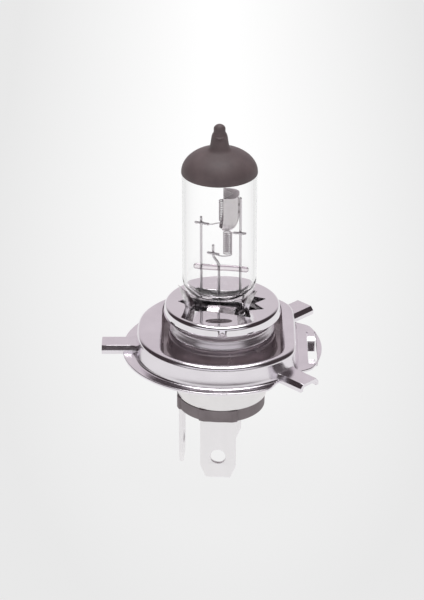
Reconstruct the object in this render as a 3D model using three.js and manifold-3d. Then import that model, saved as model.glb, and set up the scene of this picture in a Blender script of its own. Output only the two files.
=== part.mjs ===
// Twin-filament halogen headlight bulb on a three-lug flanged base, in millimetres.
// +Z runs along the base's axis towards the bulb's tip. Z = 0 is the reference plane, which holds the
// tops of the three locating lugs, and the reference lug points along -X.

import * as THREE from "three";
import { mergeVertices } from "three/addons/utils/BufferGeometryUtils.js";
import Module from "manifold-3d";

// ---- Driving dimensions -------------------------------------------------------------------------

const ROUND = 32; // segments round a turned piece
const ROLL_STEPS = 4; // steps through the quarter turn of a rolled edge
// The quarter turn of a rolled edge as angles from 0 to 90 degrees.
const ROLL_ANGLES = Array.from({ length: ROLL_STEPS + 1 }, (_, i) => (Math.PI / 2) * (i / ROLL_STEPS));
const GAP = 0.1; // clearance between pieces that are pressed or welded together on the real bulb
const PAST = 1; // how far a cutter runs past the surface it cuts

// The glass lamp sits a little off the base's axis and is turned in its collar.
const LAMP_OFFSET_X = -0.6;
const LAMP_TURN = THREE.MathUtils.degToRad(-10);

const BULB_RADIUS = 7.9;
const BULB_WALL = 1;
const DOME_BASE_Z = 40;
const DOME_HEIGHT = 5;
const DOME_SWEEP = THREE.MathUtils.degToRad(72); // how far up the dome the exhaust tip takes over
const DOME_STEPS = 5;
const SHOULDER_TOP_Z = 15; // below this the tube is squeezed flat
const SHOULDER_STEPS = 5;
const ENVELOPE_BOTTOM_Z = 10.6;
// The exhaust tip above the dome: radius and height of each ring.
const EXHAUST_TIP = [
  [2.0, 45.2],
  [1.72, 46.6],
  [1.45, 48.1],
  [1.14, 48.5],
  [1.1, 49.4],
  [0.85, 50.0],
  [0.45, 50.3],
];

const CAP_GAP = 0.05;
const CAP_THICKNESS = 0.1;
const CAP_EDGE_Z = 39.9;

const PINCH_HALF_WIDTH = 5.6;
const PINCH_HALF_THICKNESS = 2.1;
const PINCH_BOTTOM_Z = 0.6;
const FOIL_WIDTH = 1.9;
const FOIL_THICKNESS = 0.12;
const FOIL_TOP_Z = 8.6;
const FOIL_BOTTOM_Z = 3.4;

const POST_DIAMETER = 0.55;
const POST_FOOT_Z = FOIL_TOP_Z + GAP;
const CROSSBAR_DIAMETER = 0.55;
const CROSSBAR_LENGTH = 2.7;
const CROSSBAR_Y = -(POST_DIAMETER + CROSSBAR_DIAMETER) / 2 - GAP; // welded across the front of its post
const LEAD_DIAMETER = 0.5;
const WIRE_SIDES = 8; // sides of a round wire
const COIL_WIRE_SIDES = 6;
const DIPPED_POST = { x: -3.95, topZ: 29.4, barX: -3.65, barZ: 28.1 };
// The middle post steps sideways between its two bends.
const MAIN_POST = { x: -0.1, barX: -1.35, barZ: 21.2, topZ: 23, bendLowZ: 18.6, bendHighZ: 20.4 };
const COMMON_POST = { x: 4.5, topZ: 34.4, barX: 4.5, barZ: 26.4 };

const BRIDGE_DIAMETER = 1.25;
const BRIDGE_LENGTH = 10.7;
const BRIDGE_CENTRE_X = 0.3;
const BRIDGE_Z = 17.7;
const BRIDGE_HOLE = POST_DIAMETER / 2 + GAP;

const COIL_WIRE = 0.34;
const COIL_PITCH = 0.62;
const COIL_STEPS_PER_TURN = 8;
const DIPPED_COIL = { x: 0.6, radius: 0.62, lowZ: 28.5, highZ: 33.4 };
const MAIN_COIL = { x: 1.75, radius: 0.78, lowZ: 20.7, highZ: 26.1 };

const TAIL_LENGTH = 0.3; // how far a coil's tail stops beyond its crossbar's end

const SHIELD = { x: 1.3, radius: 2.85, wall: 0.2, mouthX: 0.95, scoopZ: 30.5, scoopDepth: 3.8, topZ: 35.1 };
const SHIELD_SIDES = 20;
const SCOOP_ANGLES = [80, 60, 40, 20, 0].map(THREE.MathUtils.degToRad);

const COLLAR_RADIUS = 12.6;
const COLLAR_TOP_Z = 9.5;
const COLLAR_BOTTOM_Z = 7.25;
const COLLAR_SHEET = 0.6;
const COLLAR_ROLL = 1;
const STAR_HUB_RADIUS = 6.9;
const STAR_TIP_RADIUS = 9.5;
const STAR_TIPS_PER_SIDE = 5;
const STAR_FIRST_TIP = THREE.MathUtils.degToRad(-60);
const STAR_TIP_SPACING = THREE.MathUtils.degToRad(30);
const TONGUE_HALF_WIDTH = 3.9;
const FRONT_TONGUE_Y = -5.6;
const BACK_TONGUE_Y = 3.1;
const NOTCH_RADIUS = 1.1;

const CLAMP_SHEET = 0.5;
const CLAMP_BOTTOM_Z = 3.2;
const CLAMP_TOP_Z = 8.5;
const CLAMP_EAR_REACH = 9.1;
const CLAMP_EAR_HEIGHT = 1;

const SLEEVE_RADIUS = 10.8;
const SLEEVE_SHEET = 0.5;
const SLEEVE_BOTTOM_Z = -1.9;
const SLEEVE_BULGE = 0.35;
const SLEEVE_SWELL_Z = 2.7; // where the bulge starts, just above the flange's neck

const DOME_RADIUS = 18.9;
const RIGHT_CHORD = 15.8;
const LEFT_CHORD = 18.7;
const CORNER_EASE = 24; // how sharply a chord meets the round; higher is sharper
const FLANGE_TOP_Z = 3.4;
const FLANGE_SHEET = 0.7;
const SHOULDER_ROLL = 1.3;
const RIM_RADIUS = 21.5;
const RIM_TOP_Z = -1;
const RIM_BOTTOM_Z = -1.7;
const WELL_RADIUS = 17.3;
const WELL_FLAT = 12.9;
const WELL_FLOOR_Z = -1.2;
const NECK_RADIUS = 11.6;
const NECK_BORE = 10.95;
const NECK_TOP_Z = 2.4;
const OUTLINE_POINTS = 60;

const LUG_ANGLES = [180, 45, -45].map(THREE.MathUtils.degToRad);
const LUG_TIP_RADIUS = 25.9;
const LUG_ROOT_RADIUS = 17.6;
const LUG_HALF_WIDTH = 3;
const LUG_ROLL = 1.3;
const LUG_DEPTH = 1.7;
const LUG_SHEET = 0.7;
const LUG_HOLLOW_RADIUS = 19.3; // the channel under a lug starts outside the dome
const RIM_NOTCH_RADIUS = 18.7;
const RIM_NOTCH_WIDTH = 9;

const CLIP_SLOT = { lowX: 18.4, highX: 20.3, lowY: -7.9, highY: 6.9 };
const CLIP_TONGUE_LENGTH = 5;
const CLIP_TONGUE_ROOT = 0.5; // how far a tongue's root runs into the rim
const CLIP_TONGUE_SUNK = 0.1; // how far its root lies below the rim's top
const CLIP_TONGUE_DROP = 1.6;
const CLIP_TONGUE_THICKNESS = 0.5;
const CLIP_TONGUE_MARGIN = 0.2;

const SHELL_RADIUS = 9.65; // at the lip
const SHELL_TOP_RADIUS = 10.1;
const SHELL_SHEET = 0.4;
const SHELL_TOP_Z = -2.1;
const SHELL_LIP_Z = -12;
// The rolled bead above the shell's lip: offset from the shell's radius and height above the lip.
const SHELL_BEAD = [
  [-0.15, 0],
  [0.1, 0.3],
  [0.1, 0.8],
  [0, 1.1],
];

const INSULATOR_TOP_Z = -7;
const INSULATOR_BOTTOM_Z = -14.9;
const INSULATOR_BOTTOM_RADIUS = 9.45;
const INSULATOR_TOP_RADIUS = 9.55;
const INSULATOR_EDGE_ROLL = 0.2;
// The flat boss that covers each blade's root: how far it stands past the blade's face and its edges.
const BOSS_FACE_WALL = 0.45;
const BOSS_SIDE_WALL = 0.35;

// The connector end is crimped on a little off the axis and a few degrees off the lugs.
const CONNECTOR_OFFSET_X = -0.2;
const CONNECTOR_TURN = THREE.MathUtils.degToRad(-4.5);
const BLADE_WIDTH = 7.7;
const BLADE_THICKNESS = 0.8;
const BLADE_ROOT_STEP = 0.05; // how much thinner each side is inside the insulator
const BLADE_TIP_Z = -28.8;
const BLADE_CHAMFER_X = 1.2;
const BLADE_CHAMFER_Z = 2.9;
const BLADE_HOLE_RADIUS = 1.65;
const BLADE_HOLE_Z = -23.6;
const BLADE_SHOULDER_Z = -12.5;
const BLADE_TAB_WIDTH = 2.6;
const BLADE_TAB_TOP_Z = -5;
const BLADE_RADIUS = 8.5;

// ---- Materials ----------------------------------------------------------------------------------

const finish = (color, roughness, metalness, extra = {}) =>
  new THREE.MeshStandardMaterial({ color, roughness, metalness, ...extra });

const QUARTZ = () => finish(0xf4f4f6, 0.03, 0, { transparent: true, opacity: 0.3 });
const NICKEL = () => finish(0xc9c2c8, 0.2, 1);
const POLISHED = () => finish(0xd2ccd2, 0.08, 1);
const SATIN = () => finish(0xdcd8d8, 0.4, 1);
const TUNGSTEN = () => finish(0x8d878a, 0.45, 1);
const MOLYBDENUM = () => finish(0xa8a2a6, 0.35, 1);
const BLACK_COATING = () => finish(0x695d5d, 0.6, 0.1);
const MOULDING = () => finish(0x70696c, 0.55, 0);

// ---- Solid helpers ------------------------------------------------------------------------------

const wasm = await Module();
wasm.setup();

function toSolid(geometry) {
  const bare = geometry.clone();
  bare.deleteAttribute("normal");
  bare.deleteAttribute("uv");
  const merged = mergeVertices(bare, 1e-4);
  return new wasm.Manifold(
    new wasm.Mesh({
      numProp: 3,
      vertProperties: merged.attributes.position.array,
      triVerts: new Uint32Array(merged.index.array),
    }),
  );
}

function toGeometry(solid) {
  const { vertProperties, triVerts } = solid.getMesh();
  const geometry = new THREE.BufferGeometry();
  geometry.setAttribute("position", new THREE.BufferAttribute(vertProperties, 3));
  geometry.setIndex(new THREE.BufferAttribute(triVerts, 1));
  geometry.computeVertexNormals();
  return geometry;
}

function cut(body, ...tools) {
  return toGeometry(tools.reduce((solid, tool) => solid.subtract(toSolid(tool)), toSolid(body)));
}

function join(body, ...others) {
  return toGeometry(others.reduce((solid, other) => solid.add(toSolid(other)), toSolid(body)));
}

// A piece turned about Z from a profile of [radius, height] points.
function turned(profile, segments = ROUND) {
  const points = profile.map(([radius, height]) => new THREE.Vector2(radius, height));
  return new THREE.LatheGeometry(points, segments).rotateX(Math.PI / 2);
}

// A tube turned about Z between two profiles that both run upwards.
function turnedTube(outer, inner) {
  return turned([...outer, ...[...inner].reverse(), outer[0]]);
}

function block(lowX, highX, lowY, highY, lowZ, highZ) {
  return new THREE.BoxGeometry(highX - lowX, highY - lowY, highZ - lowZ).translate(
    (lowX + highX) / 2,
    (lowY + highY) / 2,
    (lowZ + highZ) / 2,
  );
}

function cylinder(radius, lowZ, highZ, segments = ROUND) {
  return new THREE.CylinderGeometry(radius, radius, highZ - lowZ, segments)
    .rotateX(Math.PI / 2)
    .translate(0, 0, (lowZ + highZ) / 2);
}

// A flat outline raised between two heights.
function raised(shape, lowZ, highZ) {
  const depth = highZ - lowZ;
  return new THREE.ExtrudeGeometry(shape, { depth, bevelEnabled: false }).translate(0, 0, lowZ);
}

// A closed solid skinned over rings of points, listed from the lowest ring to the highest.
function loft(rings) {
  const count = rings[0].length;
  const centres = [rings[0], rings[rings.length - 1]].map((ring) =>
    ring.reduce((sum, corner) => sum.add(corner), new THREE.Vector3()).divideScalar(count),
  );
  const positions = [...rings.flat(), ...centres].flatMap((corner) => corner.toArray());
  const index = [];
  for (let ring = 0; ring + 1 < rings.length; ring += 1) {
    for (let i = 0; i < count; i += 1) {
      const a = ring * count + i;
      const b = ring * count + ((i + 1) % count);
      index.push(a, b, b + count, a, b + count, a + count);
    }
  }
  const lastRing = (rings.length - 1) * count;
  const lowCentre = lastRing + count;
  for (let i = 0; i < count; i += 1) {
    const next = (i + 1) % count;
    index.push(lowCentre, next, i);
    index.push(lowCentre + 1, lastRing + i, lastRing + next);
  }
  const geometry = new THREE.BufferGeometry();
  geometry.setAttribute("position", new THREE.Float32BufferAttribute(positions, 3));
  geometry.setIndex(index);
  geometry.computeVertexNormals();
  return geometry;
}

// One ring of a loft, from a radius given by the angle round Z.
function ringAt(z, radiusAt, count = ROUND) {
  return Array.from({ length: count }, (_, i) => {
    const angle = (2 * Math.PI * i) / count;
    const radius = radiusAt(angle);
    return new THREE.Vector3(radius * Math.cos(angle), radius * Math.sin(angle), z);
  });
}

// A round wire along a path of points.
function wire(points, diameter, steps = 1, sides = WIRE_SIDES) {
  const path = points.length === 2 ? new THREE.LineCurve3(...points) : new THREE.CatmullRomCurve3(points);
  const section = new THREE.Shape().absarc(0, 0, diameter / 2, 0, 2 * Math.PI);
  return new THREE.ExtrudeGeometry(section, {
    steps,
    extrudePath: path,
    curveSegments: sides / 2,
    bevelEnabled: false,
  });
}

const point = (x, y, z) => new THREE.Vector3(x, y, z);

function piece(name, geometry, material) {
  const mesh = new THREE.Mesh(geometry, material);
  mesh.name = name;
  return mesh;
}

// ---- Glass --------------------------------------------------------------------------------------

// Radius of a rounded flat section with the given half sizes; sharper corners as squareness grows.
function flattenedRadius(angle, halfX, halfY, squareness) {
  const x = Math.abs(Math.cos(angle) / halfX) ** squareness;
  const y = Math.abs(Math.sin(angle) / halfY) ** squareness;
  return (x + y) ** (-1 / squareness);
}

// Half sizes of the tube where it is squeezed, from 0 at the pinch to 1 at the full round.
function shoulderSection(openness) {
  const eased = openness * openness * (3 - 2 * openness);
  return {
    halfX: THREE.MathUtils.lerp(PINCH_HALF_WIDTH, BULB_RADIUS, Math.sqrt(openness)),
    halfY: THREE.MathUtils.lerp(PINCH_HALF_THICKNESS, BULB_RADIUS, eased),
    squareness: THREE.MathUtils.lerp(4, 2, openness),
  };
}

function shoulderRings(inset, lowZ) {
  return Array.from({ length: SHOULDER_STEPS }, (_, i) => {
    const openness = i / (SHOULDER_STEPS - 1);
    const z = THREE.MathUtils.lerp(lowZ, SHOULDER_TOP_Z, openness);
    const { halfX, halfY, squareness } = shoulderSection(openness);
    return ringAt(z, (angle) => flattenedRadius(angle, halfX - inset, halfY - inset, squareness));
  });
}

function domeRings(offset) {
  return Array.from({ length: DOME_STEPS + 1 }, (_, i) => {
    const angle = (DOME_SWEEP * i) / DOME_STEPS;
    const z = DOME_BASE_Z + (DOME_HEIGHT + offset) * Math.sin(angle);
    return ringAt(z, () => (BULB_RADIUS + offset) * Math.cos(angle));
  });
}

function exhaustTipRings(offset) {
  return EXHAUST_TIP.map(([radius, z]) => ringAt(z + offset, () => radius + offset));
}

function glassEnvelope() {
  const outside = loft([...shoulderRings(0, ENVELOPE_BOTTOM_Z), ...domeRings(0), ...exhaustTipRings(0)]);
  const inside = loft([...shoulderRings(BULB_WALL, ENVELOPE_BOTTOM_Z - GAP), ...domeRings(-BULB_WALL)]);
  return piece("glass_envelope", cut(outside, inside), QUARTZ());
}

function antiglareCap() {
  const skirt = (offset, z) => ringAt(z, () => BULB_RADIUS + offset);
  const outer = CAP_GAP + CAP_THICKNESS;
  const outside = loft([skirt(outer, CAP_EDGE_Z), ...domeRings(outer), ...exhaustTipRings(outer)]);
  const openEnd = skirt(CAP_GAP, CAP_EDGE_Z - PAST);
  const inside = loft([openEnd, ...domeRings(CAP_GAP), ...exhaustTipRings(CAP_GAP)]);
  return piece("antiglare_cap", cut(outside, inside), BLACK_COATING());
}

// The channel that one foil and its two wires fill in the pinch.
function sealChannel(x) {
  const bore = POST_DIAMETER / 2 + GAP;
  const half = FOIL_WIDTH / 2 + GAP;
  const depth = FOIL_THICKNESS / 2 + GAP;
  return [
    cylinder(bore, PINCH_BOTTOM_Z - PAST, ENVELOPE_BOTTOM_Z + PAST, WIRE_SIDES * 2).translate(x, 0, 0),
    block(x - half, x + half, -depth, depth, FOIL_BOTTOM_Z - GAP, FOIL_TOP_Z + GAP),
  ];
}

function pinchSeal() {
  const { squareness } = shoulderSection(0);
  const radiusAt = (angle) => flattenedRadius(angle, PINCH_HALF_WIDTH, PINCH_HALF_THICKNESS, squareness);
  const body = loft([ringAt(PINCH_BOTTOM_Z, radiusAt), ringAt(ENVELOPE_BOTTOM_Z - GAP, radiusAt)]);
  const channels = [DIPPED_POST.x, MAIN_POST.x, COMMON_POST.x].flatMap(sealChannel);
  return piece("pinch_seal", cut(body, ...channels), QUARTZ());
}

// ---- Inside the glass ---------------------------------------------------------------------------

function quartzBridge() {
  const half = BRIDGE_LENGTH / 2;
  const ends = [-half, half].map((x) => point(BRIDGE_CENTRE_X + x, 0, BRIDGE_Z));
  const bar = wire(ends, BRIDGE_DIAMETER);
  const lowZ = BRIDGE_Z - BRIDGE_DIAMETER;
  const highZ = BRIDGE_Z + BRIDGE_DIAMETER;
  const holes = [DIPPED_POST.x, MAIN_POST.x, COMMON_POST.x].map((x) =>
    cylinder(BRIDGE_HOLE, lowZ, highZ, WIRE_SIDES * 2).translate(x, 0, 0),
  );
  return piece("quartz_bridge", cut(bar, ...holes), QUARTZ());
}

function straightPost(name, { x, topZ }) {
  return piece(name, wire([point(x, 0, POST_FOOT_Z), point(x, 0, topZ)], POST_DIAMETER), MOLYBDENUM());
}

// The short middle post steps sideways above the bridge.
function mainLeadPost() {
  const { x, barX, topZ, bendLowZ, bendHighZ } = MAIN_POST;
  const path = [
    point(x, 0, POST_FOOT_Z),
    point(x, 0, bendLowZ - 4),
    point(x, 0, bendLowZ),
    point(barX, 0, bendHighZ),
    point(barX, 0, topZ),
  ];
  return piece("main_lead_post", wire(path, POST_DIAMETER, 24), MOLYBDENUM());
}

// A short bar welded across the front of a post.
function crossbar(name, { barX, barZ }) {
  const half = CROSSBAR_LENGTH / 2;
  const ends = [-half, half].map((x) => point(barX + x, CROSSBAR_Y, barZ));
  return piece(name, wire(ends, CROSSBAR_DIAMETER), MOLYBDENUM());
}

// A coil with a straight tail at each end.
function filament(name, { x, radius, lowZ, highZ }, lowTail, highTail) {
  const turns = (highZ - lowZ) / COIL_PITCH;
  const steps = Math.round(turns * COIL_STEPS_PER_TURN);
  const helix = Array.from({ length: steps + 1 }, (_, i) => {
    const angle = Math.PI + (2 * Math.PI * i) / COIL_STEPS_PER_TURN;
    const z = THREE.MathUtils.lerp(lowZ, highZ, i / steps);
    return point(x + radius * Math.cos(angle), radius * Math.sin(angle), z);
  });
  return piece(name, wire([lowTail, ...helix, highTail], COIL_WIRE, steps + 8, COIL_WIRE_SIDES), TUNGSTEN());
}

function dippedFilament() {
  const { x, highZ } = DIPPED_COIL;
  const lowTail = point(DIPPED_POST.barX + CROSSBAR_LENGTH / 2 + TAIL_LENGTH, CROSSBAR_Y, DIPPED_POST.barZ);
  return filament("dipped_beam_filament", DIPPED_COIL, lowTail, point(x, 0, highZ + 1));
}

function mainFilament() {
  const { x, highZ } = MAIN_COIL;
  const tailX = MAIN_POST.barX + CROSSBAR_LENGTH / 2 + TAIL_LENGTH;
  const lowTail = point(tailX, CROSSBAR_Y, MAIN_POST.barZ - 0.4);
  const highTail = point(x + 0.7, CROSSBAR_Y / 2, highZ + 0.2);
  return filament("main_beam_filament", MAIN_COIL, lowTail, highTail);
}

// The scoop that hides the dipped coil from the lower half of the reflector, open towards -X.
function dippedShield() {
  const { x, radius, wall, mouthX, scoopZ, scoopDepth, topZ } = SHIELD;
  const scoop = (offset) => {
    const rings = SCOOP_ANGLES.map((angle) => {
      const z = scoopZ - (scoopDepth - offset) * Math.sin(angle);
      return ringAt(z, () => (radius - offset) * Math.cos(angle), SHIELD_SIDES);
    });
    const top = ringAt(topZ + offset, () => radius - offset, SHIELD_SIDES);
    return loft([...rings, top]).translate(x, 0, 0);
  };
  const mouth = block(x - 2 * radius, mouthX, -2 * radius, 2 * radius, scoopZ - 2 * scoopDepth, topZ + PAST);
  return piece("dipped_beam_shield", cut(scoop(0), scoop(wall), mouth), MOLYBDENUM());
}

function sealFoil(name, x) {
  const half = FOIL_WIDTH / 2;
  const depth = FOIL_THICKNESS / 2;
  const sheet = block(x - half, x + half, -depth, depth, FOIL_BOTTOM_Z, FOIL_TOP_Z);
  return piece(name, sheet, MOLYBDENUM());
}

// ---- Collar, clamp and sleeve -------------------------------------------------------------------

// One half of the star opening, on the +X side: its tips and the valleys between them.
function starHalf() {
  const points = [];
  for (let i = 0; i < STAR_TIPS_PER_SIDE; i += 1) {
    const tip = STAR_FIRST_TIP + STAR_TIP_SPACING * i;
    const valley = tip + STAR_TIP_SPACING / 2;
    points.push([STAR_TIP_RADIUS * Math.cos(tip), STAR_TIP_RADIUS * Math.sin(tip)]);
    if (i + 1 < STAR_TIPS_PER_SIDE) {
      points.push([STAR_HUB_RADIUS * Math.cos(valley), STAR_HUB_RADIUS * Math.sin(valley)]);
    }
  }
  return points;
}

// The star opening, which the two straight tongues narrow from the front and the back.
function starOpening() {
  const right = [[TONGUE_HALF_WIDTH, FRONT_TONGUE_Y], ...starHalf(), [TONGUE_HALF_WIDTH, BACK_TONGUE_Y]];
  const left = right.map(([x, y]) => [-x, y]).reverse();
  return new THREE.Shape([...right, ...left].map(([x, y]) => new THREE.Vector2(x, y)));
}

function rolledEdge(radius, topZ, roll) {
  return ROLL_ANGLES.map((angle) => [
    radius - roll + roll * Math.cos(angle),
    topZ - roll + roll * Math.sin(angle),
  ]);
}

function focusCollar() {
  const inner = COLLAR_RADIUS - COLLAR_SHEET;
  const dish = turned([
    [0, COLLAR_TOP_Z - COLLAR_SHEET],
    ...rolledEdge(inner, COLLAR_TOP_Z - COLLAR_SHEET, COLLAR_ROLL - COLLAR_SHEET).reverse(),
    [inner, COLLAR_BOTTOM_Z],
    [COLLAR_RADIUS, COLLAR_BOTTOM_Z],
    ...rolledEdge(COLLAR_RADIUS, COLLAR_TOP_Z, COLLAR_ROLL),
    [0, COLLAR_TOP_Z],
  ]);
  const star = raised(starOpening(), COLLAR_TOP_Z - COLLAR_SHEET - PAST, COLLAR_TOP_Z + PAST);
  const depth = 4 * COLLAR_SHEET;
  const notch = new THREE.CylinderGeometry(NOTCH_RADIUS, NOTCH_RADIUS, depth, ROUND / 2).translate(
    0,
    -COLLAR_RADIUS,
    COLLAR_BOTTOM_Z,
  );
  return piece("focus_collar", cut(dish, star, notch), POLISHED());
}

// The sheet frame round the pinch, with an ear at each side that reaches out to the sleeve.
function pinchClamp() {
  const gapX = PINCH_HALF_WIDTH + GAP;
  const gapY = PINCH_HALF_THICKNESS + GAP;
  const outerX = gapX + CLAMP_SHEET;
  const outerY = gapY + CLAMP_SHEET;
  const frame = block(-outerX, outerX, -outerY, outerY, CLAMP_BOTTOM_Z, CLAMP_TOP_Z);
  const earTopZ = CLAMP_BOTTOM_Z + CLAMP_EAR_HEIGHT;
  const ears = block(-CLAMP_EAR_REACH, CLAMP_EAR_REACH, -gapY, gapY, CLAMP_BOTTOM_Z, earTopZ);
  const passage = block(-gapX, gapX, -gapY, gapY, CLAMP_BOTTOM_Z - PAST, CLAMP_TOP_Z + PAST);
  return piece("pinch_clamp", cut(join(frame, ears), passage), NICKEL());
}

// The sleeve is straight inside the flange's neck and swells slightly above it.
function innerSleeve() {
  const topZ = COLLAR_TOP_Z - COLLAR_SHEET - GAP;
  const wallAt = (radius) => [
    [radius, SLEEVE_BOTTOM_Z],
    ...ROLL_ANGLES.map((angle) => [
      radius + SLEEVE_BULGE * Math.sin(2 * angle),
      THREE.MathUtils.lerp(SLEEVE_SWELL_Z, topZ, (2 * angle) / Math.PI),
    ]),
  ];
  const tube = turnedTube(wallAt(SLEEVE_RADIUS), wallAt(SLEEVE_RADIUS - SLEEVE_SHEET));
  return piece("inner_sleeve", tube, NICKEL());
}

// ---- Mounting flange ----------------------------------------------------------------------------

// A disc with a straight chord on each side, its corners eased.
function chordedRadius(angle, radius, right, left) {
  const side = Math.cos(angle) > 0 ? right : left;
  const chord = side / Math.max(Math.abs(Math.cos(angle)), 1e-3);
  return (radius ** -CORNER_EASE + chord ** -CORNER_EASE) ** (-1 / CORNER_EASE);
}

function domeRing(inset, z) {
  const radiusAt = (angle) =>
    chordedRadius(angle, DOME_RADIUS - inset, RIGHT_CHORD - inset, LEFT_CHORD - inset);
  return ringAt(z, radiusAt, OUTLINE_POINTS);
}

// The pressed dome, solid up to its rolled shoulder.
function domeSolid(inset, lowZ) {
  const shoulder = ROLL_ANGLES.map((angle) => {
    const rollInset = inset + SHOULDER_ROLL * (1 - Math.cos(angle));
    return domeRing(rollInset, FLANGE_TOP_Z - inset - SHOULDER_ROLL * (1 - Math.sin(angle)));
  });
  return loft([domeRing(inset, lowZ), ...shoulder]);
}

function wellSolid(outset, lowZ, highZ) {
  const radiusAt = (angle) =>
    chordedRadius(angle, WELL_RADIUS + outset, WELL_FLAT + outset, WELL_FLAT + outset);
  return loft([ringAt(lowZ, radiusAt, OUTLINE_POINTS), ringAt(highZ, radiusAt, OUTLINE_POINTS)]);
}

// The inverted channel of one lug, along +X before it is turned into place.
function lugSolid(angle) {
  const section = new THREE.Shape();
  const flat = LUG_HALF_WIDTH - LUG_ROLL;
  section.moveTo(-LUG_HALF_WIDTH, -LUG_DEPTH);
  section.lineTo(LUG_HALF_WIDTH, -LUG_DEPTH);
  section.lineTo(LUG_HALF_WIDTH, -LUG_ROLL);
  section.absarc(flat, -LUG_ROLL, LUG_ROLL, 0, Math.PI / 2);
  section.absarc(-flat, -LUG_ROLL, LUG_ROLL, Math.PI / 2, Math.PI);
  const depth = LUG_TIP_RADIUS - LUG_ROOT_RADIUS;
  const bar = new THREE.ExtrudeGeometry(section, { depth, bevelEnabled: false, curveSegments: ROLL_STEPS })
    .rotateX(Math.PI / 2)
    .rotateZ(Math.PI / 2)
    .translate(LUG_ROOT_RADIUS, 0, 0);
  const inside = LUG_HALF_WIDTH - LUG_SHEET;
  const farX = LUG_TIP_RADIUS + PAST;
  const hollow = block(LUG_HOLLOW_RADIUS, farX, -inside, inside, -LUG_DEPTH - PAST, -LUG_SHEET);
  return cut(bar, hollow).rotateZ(angle);
}

// The flat rim, notched inwards where the two side lugs stand.
function rimSolid() {
  const disc = cylinder(RIM_RADIUS, RIM_BOTTOM_Z, RIM_TOP_Z, OUTLINE_POINTS);
  const half = RIM_NOTCH_WIDTH / 2;
  const lowZ = RIM_BOTTOM_Z - PAST;
  const highZ = RIM_TOP_Z + PAST;
  const notches = LUG_ANGLES.slice(1).map((angle) =>
    block(RIM_NOTCH_RADIUS, LUG_TIP_RADIUS, -half, half, lowZ, highZ).rotateZ(angle),
  );
  const { lowX, highX, lowY, highY } = CLIP_SLOT;
  const slot = block(lowX, highX, lowY, highY, lowZ, highZ);
  return cut(disc, ...notches, slot);
}

// The two spring tongues that are bent down out of the slot in the rim.
function clipTongues() {
  const { lowX, highX, lowY, highY } = CLIP_SLOT;
  const width = highX - lowX - 2 * CLIP_TONGUE_MARGIN;
  const rootZ = RIM_TOP_Z - CLIP_TONGUE_SUNK;
  const tipZ = RIM_TOP_Z - CLIP_TONGUE_DROP;
  const middleX = (lowX + highX) / 2;
  return [highY, lowY].map((rootY) => {
    const inward = Math.sign(lowY + highY - 2 * rootY);
    const profile = new THREE.Shape();
    profile.moveTo(-CLIP_TONGUE_ROOT, rootZ);
    profile.lineTo(CLIP_TONGUE_LENGTH, tipZ);
    profile.lineTo(CLIP_TONGUE_LENGTH, tipZ - CLIP_TONGUE_THICKNESS);
    profile.lineTo(-CLIP_TONGUE_ROOT, rootZ - CLIP_TONGUE_THICKNESS);
    return new THREE.ExtrudeGeometry(profile, { depth: width, bevelEnabled: false })
      .rotateX(Math.PI / 2)
      .translate(0, width / 2, 0)
      .rotateZ((inward * Math.PI) / 2)
      .translate(middleX, rootY, 0);
  });
}

function mountingFlange() {
  const inside = domeSolid(FLANGE_SHEET, RIM_BOTTOM_Z - PAST);
  const midSheet = domeSolid(FLANGE_SHEET / 2, RIM_BOTTOM_Z - PAST);
  const dome = cut(domeSolid(0, RIM_BOTTOM_Z), inside);
  const plate = cut(rimSolid(), midSheet);
  const lugs = LUG_ANGLES.map((angle) => cut(lugSolid(angle), midSheet));
  const wellWall = wellSolid(FLANGE_SHEET, WELL_FLOOR_Z - FLANGE_SHEET, FLANGE_TOP_Z - FLANGE_SHEET / 2);
  const openDome = join(dome, plate, ...lugs, ...clipTongues(), wellWall);
  const hollowed = cut(openDome, wellSolid(0, WELL_FLOOR_Z, FLANGE_TOP_Z + PAST));
  const neck = cylinder(NECK_RADIUS, WELL_FLOOR_Z - GAP, NECK_TOP_Z);
  const bore = cylinder(NECK_BORE, WELL_FLOOR_Z - FLANGE_SHEET - PAST, NECK_TOP_Z + PAST);
  return piece("mounting_flange", cut(join(hollowed, neck), bore), NICKEL());
}

// ---- Base shell, insulator and blades -----------------------------------------------------------

function baseShell() {
  const bead = SHELL_BEAD.map(([offset, rise]) => [SHELL_RADIUS + offset, SHELL_LIP_Z + rise]);
  const outer = [...bead, [SHELL_TOP_RADIUS, SHELL_TOP_Z]];
  const inner = [
    [SHELL_RADIUS - SHELL_SHEET, SHELL_LIP_Z],
    [SHELL_TOP_RADIUS - SHELL_SHEET, SHELL_TOP_Z],
  ];
  return piece("base_shell", turnedTube(outer, inner), SATIN());
}

// Turns something drawn round the axis out to the blades' radius, to face outwards at an angle.
function facing(geometry, angle) {
  return geometry.translate(BLADE_RADIUS, 0, 0).rotateZ(angle);
}

const BLADES = [
  { name: "main_beam_blade", lead: "main_outer_lead", angle: -Math.PI / 2 },
  { name: "common_blade", lead: "common_outer_lead", angle: Math.PI / 2 },
  { name: "dipped_beam_blade", lead: "dipped_outer_lead", angle: Math.PI },
];

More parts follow.
